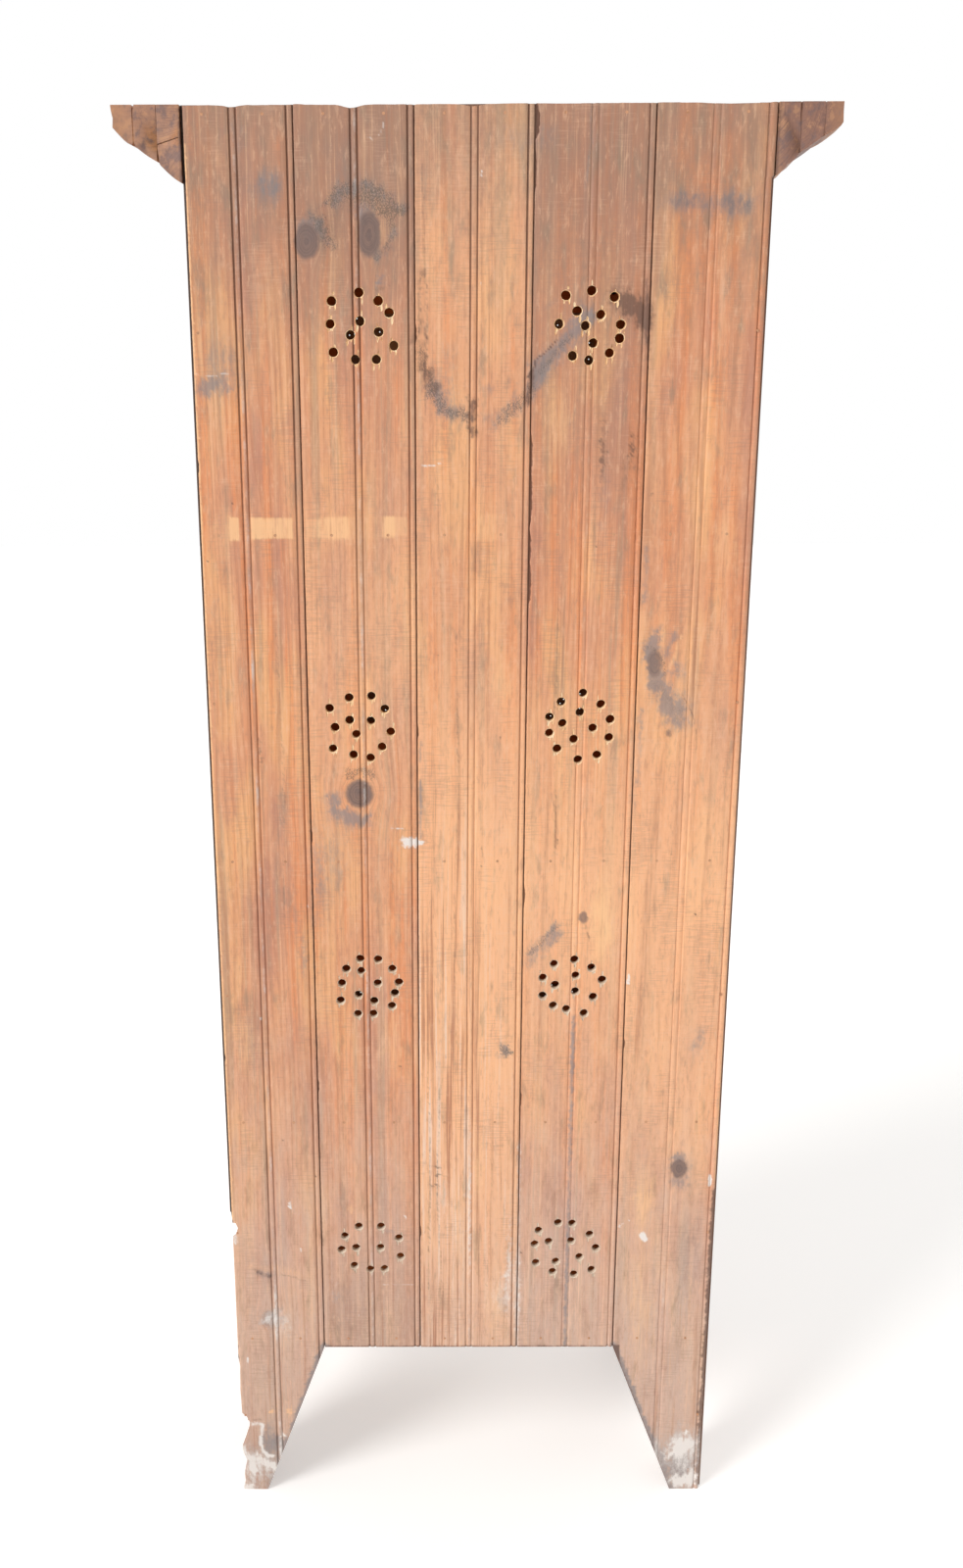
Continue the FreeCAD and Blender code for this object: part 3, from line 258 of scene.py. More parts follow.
saw = add(tree, "Math", (drive["blade"], drive["blade_place"]), operation="MULTIPLY")
ragged = add(tree, "Math", (drive["ragged"], drive["bloom"]))
ragged = add(tree, "MapRange", (ragged, 0.78, 1.16, 0.5, 1.35))      # value, its range, new range
brushed = add(tree, "MapRange", (drive["brushed"], 0.30, 0.60, 0.55, 1.15))
speckled = add(tree, "MapRange", (drive["speck"], 0.40, 0.60, 0.0, 1.25))
stored = {name: add(tree, "Attribute", out=2, attribute_name=name)
          for name in ("grey", "brown", "white", "faded", "mould", "tone", "knot", "grime", "bold")}
for name, broken in (("grey", ragged), ("brown", ragged), ("white", ragged), ("faded", brushed),
                     ("mould", speckled)):
    drive[name] = add(tree, "Math", (stored[name], broken), operation="MULTIPLY")
for name, torn in (("tone", 0.6), ("knot", 0.3), ("grime", 0.3)):
    drive[name] = add(tree, "Math", (drive["ragged"], torn, stored[name]), operation="MULTIPLY_ADD")
for name, reach in (("smoke", 900.0), ("dust", 700.0)):
    drive[name] = add(tree, "Math", (drive["bloom"], reach, split["Z"]), operation="MULTIPLY_ADD")
core = add(tree, "Math", (stored["knot"], drive["fibre"]), operation="MULTIPLY")
core = add(tree, "Math", (ring, core, core), operation="MULTIPLY_ADD")
bold = add(tree, "Math", (drive["streak"], 0.5), operation="SUBTRACT")
bold = add(tree, "Math", (bold, stored["bold"]), operation="MULTIPLY")
drive.update(ring=ring, saw=saw, core=core, bold=bold, inside=split["Y"])
paint = stained(tree, colour("#DE9D76"), drive, (
    ("glow", 0.48, 0.66, 0.64, "#F5BA80"), ("glow", 0.50, 0.32, 0.66, "#BB8370"),
    ("amber", 0.50, 0.66, 0.68, "#E68D56"), ("amber", 0.47, 0.32, 0.60, "#B39378"),
    ("ring", 0.45, 0.93, 0.30, "#B5704A"), ("smoke", 1990, 2390, 0.74, "#907B69"),
    ("dust", 1230, 440, 0.78, "#CFB7A8"), ("tone", 0.35, 1.35, 0.80, "#FCC192"),
    ("tone", 0.25, -0.75, 0.80, "#A17A67"), ("streak", 0.51, 0.72, 0.47, "#B47B5C"),
    ("streak", 0.47, 0.26, 0.41, "#F5C49C"), ("bold", 0.02, 0.16, 0.62, "#A8684C"),
    ("bold", -0.01, -0.16, 0.62, "#F2DCCB"), ("bloom", 0.53, 0.72, 0.44, "#93806C"),
    ("fibre", 0.52, 0.80, 0.15, "#A26A4A"), ("fibre", 0.44, 0.20, 0.15, "#F8D2B2"),
    ("mottle", 0.52, 0.70, 0.30, "#AC7A66"), ("mottle", 0.47, 0.30, 0.28, "#F2C4A2"),
    ("saw", 0.28, 0.38, 0.22, "#A07C6A"), ("saw", 0.20, 0.12, 0.14, "#F2C8A8"),
    ("fleck", 0.70, 0.80, 0.35, "#7C6154"), ("faded", 0.20, 0.90, 0.80, "#FBC894"),
    ("grey", 0.10, 1.05, 0.68, "#787A80"), ("mould", 0.15, 0.95, 0.66, "#62564A"),
    ("brown", 0.15, 1.00, 0.82, "#664A3E"), ("knot", 0.30, 1.00, 0.88, "#836A60"),
    ("core", 0.25, 0.95, 0.42, "#54484A"), ("white", 0.20, 1.00, 0.90, "#EFE8E2"),
    # the groove coat below is grime and painted shade in the quirks and joints
    ("grime", 0.30, 1.00, 0.75, "#633F2C"), ("inside", 226.6, 225.9, 0.70, "#A98160")))
relief = add(tree, "Math", (drive["fibre"], 0.5, drive["streak"]), operation="MULTIPLY_ADD")
relief = add(tree, "Math", (saw, 0.5, relief), operation="MULTIPLY_ADD")
satin(tree, shader, paint, drive["streak"], 0.52, relief, 0.28)
print(beaded_pine.name, "has", len(tree.nodes), "nodes")

# %% [markdown]
# ## Freshly cut wood
# Where a drill or a splinter opened the boards, the wood inside was never stained: it is pale
# yellow and fuzzy. The same fibres in a lighter colour show that, and deep in a hole painted shade.

# %% Raw pine in holes and tears
def plain_finish(name, base, layers, coats, sockets, bump=None):
    """A finish from noise and place alone; bump is a layer's name, a depth in mm and a strength."""
    made, tree, shader = fresh_material(name)
    place = millimetres(tree)
    drive = grown(tree, [(label, place, *how) for label, *how in layers])
    for axis in "YZ":
        if axis in [coat[0] for coat in coats]:
            drive[axis] = add(tree, "SeparateXYZ", (place,)).node.outputs[axis]
    feed(shader, {"Base Color": stained(tree, colour(base), drive, coats), **sockets})
    if bump:
        layer, deep, strength = bump
        relief = add(tree, "Bump", {"Height": drive[layer], "Distance": deep * MM, "Strength": strength})
        feed(shader, {"Normal": relief})
    return made


raw_pine = plain_finish(
    "raw_drilled_pine", "#F0C796", (("fibre", (0.8, 0.8, 7), 2, 0.6), ("patch", (5, 5, 9), 2, 0.5)),
    (("patch", 0.48, 0.62, 0.8, "#FBE2BC"), ("fibre", 0.52, 0.75, 0.4, "#C08A5C"),
     ("patch", 0.42, 0.28, 0.5, "#A87448"), ("Z", 1250, 620, 0.75, "#CFC2B4"),
     # the Y coat is painted shade: dark brown deep in a hole, where light hardly reaches
     ("Y", 228.5, 225.5, 0.6, "#6B4228")), {"Roughness": 0.85, "IOR": 1.5}, ("fibre", 0.5, 0.6))
print(raw_pine.name, "is pale at the face and dark 5 mm in")

# %% [markdown]
# ## The shape of a beaded board
# Beadboard is planed with one cutter: a half-round bead at the edge, another in the middle, and
# a narrow groove, the quirk, on each side of a bead. A sweep of the section along Z would do,
# but knots and stains need points to sit on, so the section is repeated every few millimetres
# as a closed tube. The tongue and groove at the edges close the joints, as on the real boards.

# %% The section and the tube
FACE, BEHIND = 233.45, 225.5       # the outer and inner faces of the boards, mm
TOP = 1829.8
TONGUE = (227.7, 230.1, 5.0)       # from y, to y and reach of a tongue
HALF_GAP = 0.3                     # half of the joint between two boards
STEP = 2.5                         # spacing of points on the flats, mm
QUIRK = ((-5.5, 0.0), (-5.2, 0.15), (-4.9, 0.6), (-4.5, 1.35), (-4.1, 1.7), (-3.6, 1.6), (-3.1, 1.2),
         (-2.6, 0.8), (-1.9, 0.4), (-1.1, 0.13))
BEAD = QUIRK + ((0.0, 0.06),) + tuple((-x, deep) for x, deep in reversed(QUIRK))


def smoothed(mesh, angle=32):
    """Rounded faces shade smooth, and edges sharper than the angle stay crisp."""
    mesh.polygons.foreach_set("use_smooth", [True] * len(mesh.polygons))
    mesh.set_sharp_from_angle(angle=radians(angle))
    return mesh


def closed(mesh):
    """Merges doubles and turns every face outwards."""
    bm = bmesh.new()
    bm.from_mesh(mesh)
    bmesh.ops.remove_doubles(bm, verts=bm.verts, dist=1e-6)
    bmesh.ops.recalc_face_normals(bm, faces=bm.faces)
    bm.to_mesh(mesh)
    bm.free()
    return mesh


def uneven(values, wave, seed):
    """A smooth wandering line from -1 to 1: four sine waves that start at random."""
    start = np.random.default_rng(seed).uniform(0, 2 * pi, 4)
    return sum(np.sin(2 * pi * np.asarray(values) / (wave * k) + s)
               for k, s in zip((1.0, 0.61, 0.37, 1.7), start)) / 4


def board_face(low, high, middle, worn):
    """Points (x, depth) across a face, from its edge bead to its plain edge; worn flattens a bead."""
    low, high = low + HALF_GAP, high - HALF_GAP
    edge = low + 3.25
    across = [(low, 2.6)] + [(edge + x, deep) for x, deep in BEAD if x > -3.0]
    for start, end in ((edge + 5.6, middle - 5.6), (middle + 5.6, high - 1.0)):
        count = max(1, round((end - start) / STEP))
        across += [(start + (end - start) * k / count, 0.0) for k in range(1, count)]
        if end < middle:
            across += [(middle + x, deep * worn) for x, deep in BEAD]
    return across + [(high - 1.0, 0.02), (high - 0.45, 0.2), (high - 0.1, 0.7), (high, 1.5)]


print("one bead has", len(BEAD), "points across 9.9 mm")

# %% [markdown]
# ## Five boards, none of them straight
# The boards were nailed on one by one: their tops don't quite agree and dip at every bead, the
# planed edges are chipped, and one edge was torn. Sculpting would make this by hand. Here a few
# short lists say where the wood is missing, and the points of the tube are moved by them.

# %% The tubes of the boards
BOARDS = (   # low x, high x, bottom z, middle of the centre bead, how far the top is cut down, bead left
    (204, 325, 0, 270.5, 0.65, 1.0), (71, 204, 238, 137.5, 0.65, 1.0), (-62, 71, 238, 4.5, 0.6, 0.8),
    (-195, -62, 238, -128.5, 0.3, 0.6), (-325, -195, 0, -261.5, 0.0, 0.5))
TOP_DIPS = (   # x, half width, depth
    (271, 9, 2.0), (199, 8, -0.75), (140, 11, 3.4), (6, 11, 2.4), (-46, 18, -0.4), (-95, 22, 0.5),
    (-285, 38, 1.8), (-322, 5, -0.8), (320, 5, 0.5), (71, 3, 0.5))
DIP_REACH = 22      # mm below the top over which the dips fade out
EDGE_CHIPS = {   # board: z, half height, bite of the wood that is missing from its plain edge
    0: ((431, 7, 2.4), (680, 5, 1.4), (237, 4, 1.2), (1440, 6, 1.2), (212, 13, 2.0), (178, 9, 1.2),
        (150, 12, 1.6)),
    1: ((985, 8, 0.8), (640, 9, 1.0)), 2: ((1120, 8, 0.9), (1588, 10, 1.0), (420, 9, 1.1)),
    3: ((1812, 17, 4.6), (1760, 20, 1.3), (1452, 22, 1.6), (1402, 30, 2.0), (1345, 18, 1.5), (1302, 24, 2.2),
        (905, 14, 1.1), (620, 10, 0.9)), 4: ((700, 6, 1.0),)}
EDGE = 7                        # mm of a face that rounds off towards the plain edge
CORNICE_FOOT, NOTCH = 1752, 9   # the last board is cut back from this height, over this width


def board_tube(number):
    """One board: its section, repeated up to the top, then chipped, dipped and made to wander."""
    low, high, bottom, middle, cut, worn = BOARDS[number]
    across = board_face(low, high, middle, worn)
    count = len(across)
    left, right = low + HALF_GAP, high - HALF_GAP
    start, end, reach = TONGUE
    around = [(x, FACE - deep) for x, deep in across] + [
        (right, end + 0.2), (right - reach - 0.3, end + 0.2), (right - reach - 0.3, start - 0.2),
        (right, start - 0.2), *((x, BEHIND) for x in np.linspace(right, left, 15)), (left, start),
        (left - reach, start), (left - reach, end), (left, end)]
    if number == 0:
        around[count:count + 4] = []
    if number == 4:
        around[-4:] = []
    section = np.array(around)
    rows = np.arange(bottom, TOP + STEP / 2, STEP)
    rows[-1] = TOP
    x, y = (np.tile(section[:, axis], (len(rows), 1)) for axis in (0, 1))
    z = np.repeat(rows[:, None], len(section), 1)
    dip = cut + 0.25 * (1 + uneven(x, 23, 40 + number))
    for where, half, deep in TOP_DIPS:
        dip = dip + deep * np.exp(-((x - where) / half) ** 2)
    z = z - np.maximum(dip, 0) * np.clip((z - (TOP - DIP_REACH)) / DIP_REACH, 0, 1)
    face_x, face_y, face_z = (part[:, :count] for part in (x, y, z))      # views: they change the board
    face_y -= 0.10 * (1 + uneven(face_z, 310, number)) + 0.05 * (1 + uneven(face_z + 3 * face_x, 41, 9))
    near = np.clip((face_x - (high - EDGE)) / EDGE, 0, 1)
    bite = 0.16 * (1 + uneven(rows, 19, 70 + number))
    for where, half, deep in EDGE_CHIPS[number]:
        jag = 1 + 0.45 * uneven(rows, 6, int(where)) + 0.3 * uneven(rows, 15, int(where) + 1)
        bite = bite + deep * jag * np.clip(1.25 - ((rows - where) / half) ** 2, 0, 1)
    if number == 4:     # at the cornice the last board reaches the moulding
        beside = np.clip((low + NOTCH - face_x) / NOTCH, 0, 1)
        face_x -= 2.6 * beside * np.clip((face_z - CORNICE_FOOT) / 3, 0, 1)
    face_x -= near ** 2 * bite[:, None]
    face_y -= near ** 2 * np.minimum(bite * 0.55, 3.0)[:, None]
    ids = np.arange(x.size).reshape(x.shape)
    faces = np.stack((ids[:-1], np.roll(ids[:-1], -1, 1), np.roll(ids[1:], -1, 1), ids[1:]), -1)
    faces = faces.reshape(-1, 4).tolist() + [ids[0, ::-1].tolist(), ids[-1].tolist()]
    name = f"back_board_{number + 1}_worn"
    mesh = plotted(name, np.stack((x, y, z), -1).reshape(-1, 3), faces)
    return link(name, closed(mesh), beaded_pine, raw_pine)


boards = [board_tube(number) for number in range(len(BOARDS))]
print("points in each board:", [len(board.data.vertices) for board in boards])

# %% [markdown]
# ## Cutting wood away
# The feet were sawn out of the boards after they were up, and later a flake split off one foot.
# It split along a slope, down and outwards, so its cutter leans. A Boolean modifier subtracts a
# solid; its manifold solver is fast and keeps the mesh closed. The cutter carries a material, so
# the cut shows raw or sawn wood without painting it.

# %% Saw lines and broken places
def made_plain(piece):
    """Leaves a piece as the plain mesh that its modifiers give."""
    flat = bpy.data.meshes.new_from_object(piece.evaluated_get(bpy.context.evaluated_depsgraph_get()))
    piece.modifiers.clear()
    flat.name = piece.name
    piece.data = flat
    return piece


def cut_away(piece, cutters):
    """Takes the cutters' solids out of a piece."""
    for cutter in cutters:
        step = piece.modifiers.new("cut", "BOOLEAN")
        step.operation, step.solver, step.object = "DIFFERENCE", "MANIFOLD", cutter
    return made_plain(piece)


def prism(name, outline, y, *materials, lean=(0, 0)):
    """A solid with an outline in x and z, mm, from one y to another; lean shifts its first end."""
    count = len(outline)
    points = [(x + dx, side, z + dz) for side, (dx, dz) in zip(y, (lean, (0, 0))) for x, z in outline]
    faces = [tuple(range(count)), tuple(range(2 * count - 1, count - 1, -1))]
    faces += [(k, k + count, (k + 1) % count + count, (k + 1) % count) for k in range(count)]
    return link(name, closed(plotted(name, points, faces)), *materials)


weathered_cut = plain_finish(
    "weathered_saw_cut", "#77767A", (("fibre", (0.9, 6, 0.9), 2, 0.6), ("patch", (7, 7, 12), 3, 0.5)),
    (("patch", 0.45, 0.65, 0.7, "#5A5C64"), ("fibre", 0.50, 0.70, 0.5, "#A39A94")), {"Roughness": 0.85})
split_pine = plain_finish(
    "pale_split_pine", "#EBD9C4", (("fibre", (1.2, 1.2, 14), 3, 0.6), ("patch", (8, 8, 16), 3, 0.5)),
    (("patch", 0.48, 0.66, 0.6, "#CDB9A6"), ("fibre", 0.50, 0.72, 0.5, "#B99C80")), {"Roughness": 0.9})
foot_saw = prism("foot_saw", (
    (291.5, -9), (290, 0), (204, 238.4), (204, 239), (-195, 239), (-195, 238.4), (-283, 0),
    (-284.5, -9)), (215, 250), weathered_cut)
foot_break = prism("foot_break", (
    (331, 236), (325.2, 236), (321.6, 212), (322.8, 174), (321.6, 134), (316, 129), (311.4, 119),
    (312.7, 104), (317.4, 90), (323.3, 76), (321.8, 67), (317.6, 55), (318.8, 44), (321.5, 32),
    (320.9, 18), (324, 8), (327, -3), (331, -3)), (140, 240), split_pine, lean=(12.5, -70))
edge_bite = prism("edge_bite", (
    (331, 446), (325.5, 439.5), (319, 438.4), (316.3, 431), (318, 421.6), (323.4, 418),
    (331, 417)), (150, 240), split_pine, lean=(12.5, -56))
lost_splinter = prism("lost_splinter", (
    (325.2, 433), (326.4, 446), (331, 452), (331, -6), (325.6, -6), (324.6, 90), (325.6, 190),
    (324.9, 330)), (208, 227), split_pine)
cut_away(boards[0], (foot_saw, foot_break, edge_bite))
cut_away(boards[4], (foot_saw,))
print("feet sawn; the broken flake has", len(foot_break.data.polygons), "faces")

# %% [markdown]
# ## Vent holes, drilled by eye
# Someone drilled eight clusters of holes with a hand brace, and the bit tore the last fibres
# out above and below each hole. Subtracting a hundred cylinders one by one would be slow to
# write and to run, so a node tree stands a drill and some tear wedges on every marked point and
# takes them all away at once. Its inputs are the sizes of the drill and of the tears.

# %% Where the drill went in
VENT_ROWS = (1596, 1126, 782, 395)      # height of each cluster's middle, mm
VENTS = {   # board: the middle of its clusters, and each hole's offset to the right (from behind) and up
    1: (137.5, (
        ((-28, 28), (3, 37), (25, 28), (37, 15), (-30, 3), (4, 6), (-7, -9), (25, -6), (42, -21),
         (-27, -28), (-2, -36), (22, -36)),
        ((-16, 37), (11, 39), (-40, 24), (27, 23), (-16, 9), (10, 8), (-34, 0), (-8, -9), (34, -6),
         (-37, -27), (23, -25), (-12, -35), (9, -39)),
        ((-8, 38), (15, 37), (-26, 24), (-7, 21), (33, 24), (-32, 4), (14, 4), (41, 5), (36, -10),
         (-11, -12), (-34, -20), (9, -21), (32, -28), (-12, -39), (8, -39)),
        ((-16, 34), (14, 34), (-35, 19), (38, 16), (-40, -2), (-20, 1), (13, 1), (40, -13),
         (-23, -27), (-1, -33), (18, -32)))),
    3: (-128.5, (
        ((-29, 33), (0, 38), (26, 31), (-16, 16), (11, 12), (-36, 2), (-6, 0), (34, 1), (33, -14),
         (3, -19), (-20, -33), (22, -30), (-1, -38)),
        ((2, 42), (-24, 31), (24, 28), (-1, 18), (-38, 12), (36, 9), (-22, 4), (15, -2), (-38, -8),
         (35, -14), (-8, -16), (-28, -28), (21, -36), (-2, -42)),
        ((0, 36), (-26, 30), (22, 25), (-40, 11), (2, 14), (36, 8), (-24, 1), (-40, -14), (2, -8),
         (25, -16), (-26, -28), (-9, -33), (14, -39)),
        ((-13, 39), (6, 38), (-39, 27), (30, 21), (-44, 6), (-25, 10), (5, 11), (39, 0), (17, -14),
         (-42, -23), (-15, -21), (-19, -37), (34, -34), (10, -41))))}


def vent_marks(number):
    """The points that the drill was put on, as a mesh of loose points just under the board's face."""
    middle, clusters = VENTS[number]
    spots = [(middle - across, FACE - 0.2, centre + up)
             for centre, cluster in zip(VENT_ROWS, clusters) for across, up in cluster]
    name = f"vent_marks_{number + 1}"
    return link(name, plotted(name, spots))


marks_on = {number: vent_marks(number) for number in VENTS}
print("holes to drill:", {number + 1: len(made.data.vertices) for number, made in marks_on.items()})

# %% [markdown]
# ## A node tree that drills
# Instance on Points stands a slightly crooked drill on each mark. Wedges of torn wood, a random
# few millimetres above and below, are instanced in the same way. One Mesh Boolean then takes
# all of them out of the board. Every random value has its own seed, so the result never changes.

# %% Running a tree on a piece
def tree_with(name, inputs):
    """A new Geometry Nodes tree with named inputs: {name: (socket type, value)}."""
    tree = bpy.data.node_groups.new(name, "GeometryNodeTree")
    for way in ("INPUT", "OUTPUT"):
        tree.interface.new_socket("Geometry", in_out=way, socket_type="NodeSocketGeometry")
    for label, (kind, value) in inputs.items():
        made = tree.interface.new_socket(label, in_out="INPUT", socket_type="NodeSocket" + kind)
        if value is not None:
            made.default_value = value
    return tree, add(tree, "NodeGroupInput").node.outputs


def close_tree(tree, geometry, finish):
    """Ends a tree with real geometry and one material, or the materials that it has already."""
    made = add(tree, "GeometryNodeRealizeInstances", (geometry,))
    if finish is not None:
        made = add(tree, "GeometryNodeSetMaterial", {"Geometry": made, "Material": finish})
    add(tree, "NodeGroupOutput", (made,))


def worked(piece, tree, values):
    """Runs a tree with these inputs, set by identifier, and leaves the piece as a plain mesh."""
    step = piece.modifiers.new(tree.name, "NODES")
    step.node_group = tree
    for socket in tree.interface.items_tree:
        if socket.in_out == "INPUT" and socket.name in values:
            step[socket.identifier] = values[socket.name]
    return made_plain(piece)


def rough_copy(tree, geometry, grain, reach):
    """Moves the points of a shape a little, by noise of a grain and reach in millimetres."""
    shift = add(tree, "TexNoise", {"Scale": 1 / (grain * MM), "Detail": 1.0}, out=1)
    shift = add(tree, "VectorMath", (shift, (0.5, 0.5, 0.5)), operation="SUBTRACT")
    shift = add(tree, "VectorMath", {0: shift, "Scale": 2 * reach * MM}, operation="SCALE")
    return add(tree, "GeometryNodeSetPosition", {"Geometry": geometry, "Offset": shift})


print("a tree ends in Realize Instances and Set Material")

# %% Drilling
drilling, given = tree_with("vent_drilling", {
    "Marks": ("Object", None), "Drill radius": ("Float", 5.4 * MM), "Drill depth": ("Float", 22 * MM),
    "Tear length": ("Float", 5 * MM), "Raw wood": ("Material", None)})
spots = add(drilling, "GeometryNodeObjectInfo", {"Object": given["Marks"]}, out=4)
tools = []


def put_tool(shape, grain, reach, at, **turn_and_size):
    """Stands a rough cutter, which leaves raw wood, on every point."""
    rough = rough_copy(drilling, shape, grain, reach)
    rough = add(drilling, "GeometryNodeSetMaterial", {"Geometry": rough, "Material": given["Raw wood"]})
    tools.append(add(drilling, "GeometryNodeInstanceOnPoints",
                     {"Points": at, "Instance": rough, **turn_and_size}))


CROOKED = 0.05      # radians that the drill leans at most
TEARS = ((1, 20), (-1, 30), (-1, 40), (-1, 50))     # up or down, and seed: torn mostly below a hole
chances = [         # name, lowest, highest and seed of every random vector
    ("drill turn", (pi / 2 - CROOKED, 0, -CROOKED), (pi / 2 + CROOKED, 2 * pi, CROOKED), 4),
    ("drill size", (0.93, 0.93, 1), (1.05, 1.05, 1), 12),
    ("rim turn", (pi / 2, 0, 0), (pi / 2, 2 * pi, 0), 14)]
for sign, seed in TEARS:
    near, far = sorted((3.6 * MM * sign, 8.6 * MM * sign))
    chances += [(f"shift {seed}", (-4 * MM, -0.4 * MM, near), (4 * MM, 0.35 * MM, far), seed),
                (f"size {seed}", (0.6, 0.4, 0.35), (1.7, 1.2, 1.15), seed + 1)]
chance = {name: add(drilling, "FunctionNodeRandomValue", {0: low, 1: high, "Seed": seed},
                    data_type="FLOAT_VECTOR") for name, low, high, seed in chances}
drill = add(drilling, "GeometryNodeMeshCylinder", {
    "Vertices": 22, "Side Segments": 8, "Radius": given["Drill radius"], "Depth": given["Drill depth"]})
put_tool(drill, 5, 0.45, spots, Rotation=chance["drill turn"], Scale=chance["drill size"])
rim = add(drilling, "GeometryNodeMeshCone", {
    "Vertices": 18, "Side Segments": 2, "Radius Top": 4.2 * MM, "Radius Bottom": 6.8 * MM, "Depth": 3 * MM})
lifted = add(drilling, "GeometryNodeSetPosition", {"Geometry": spots, "Offset": (0, 0.75 * MM, 0)})
put_tool(rim, 3, 1.2, lifted, Rotation=chance["rim turn"])
reach = add(drilling, "Math", (given["Tear length"], 1 / MM), operation="MULTIPLY")
longer = add(drilling, "CombineXYZ", (1.0, 1.0, reach))
for _, seed in TEARS:
    wedge = add(drilling, "GeometryNodeMeshIcoSphere", {"Radius": 1 * MM, "Subdivisions": 2})
    moved = add(drilling, "GeometryNodeSetPosition", {"Geometry": spots, "Offset": chance[f"shift {seed}"]})
    size = add(drilling, "VectorMath", (chance[f"size {seed}"], longer), operation="MULTIPLY")
    put_tool(wedge, 1, 0.25, moved, Scale=size)
drilled = add(drilling, "GeometryNodeMeshBoolean", {"Mesh 1": given["Geometry"], "Mesh 2": tools},
              operation="DIFFERENCE", solver="MANIFOLD")
close_tree(drilling, drilled, None)

for number, made in marks_on.items():
    worked(boards[number], drilling, {"Marks": made, "Raw wood": raw_pine})
    print(boards[number].name, "now has", len(boards[number].data.polygons), "faces")

# %% [markdown]
# ## Knots, stains and wear as attributes
# A knot is where a branch grew: the growth lines bend round it, and it is dark and hard. Stains
# ran down from old leaks, and a paler band was covered for years. Painting by hand would need
# an image. Instead, each vertex works out how near it is to a short list of such places, and
# stores that in an attribute that the material reads.

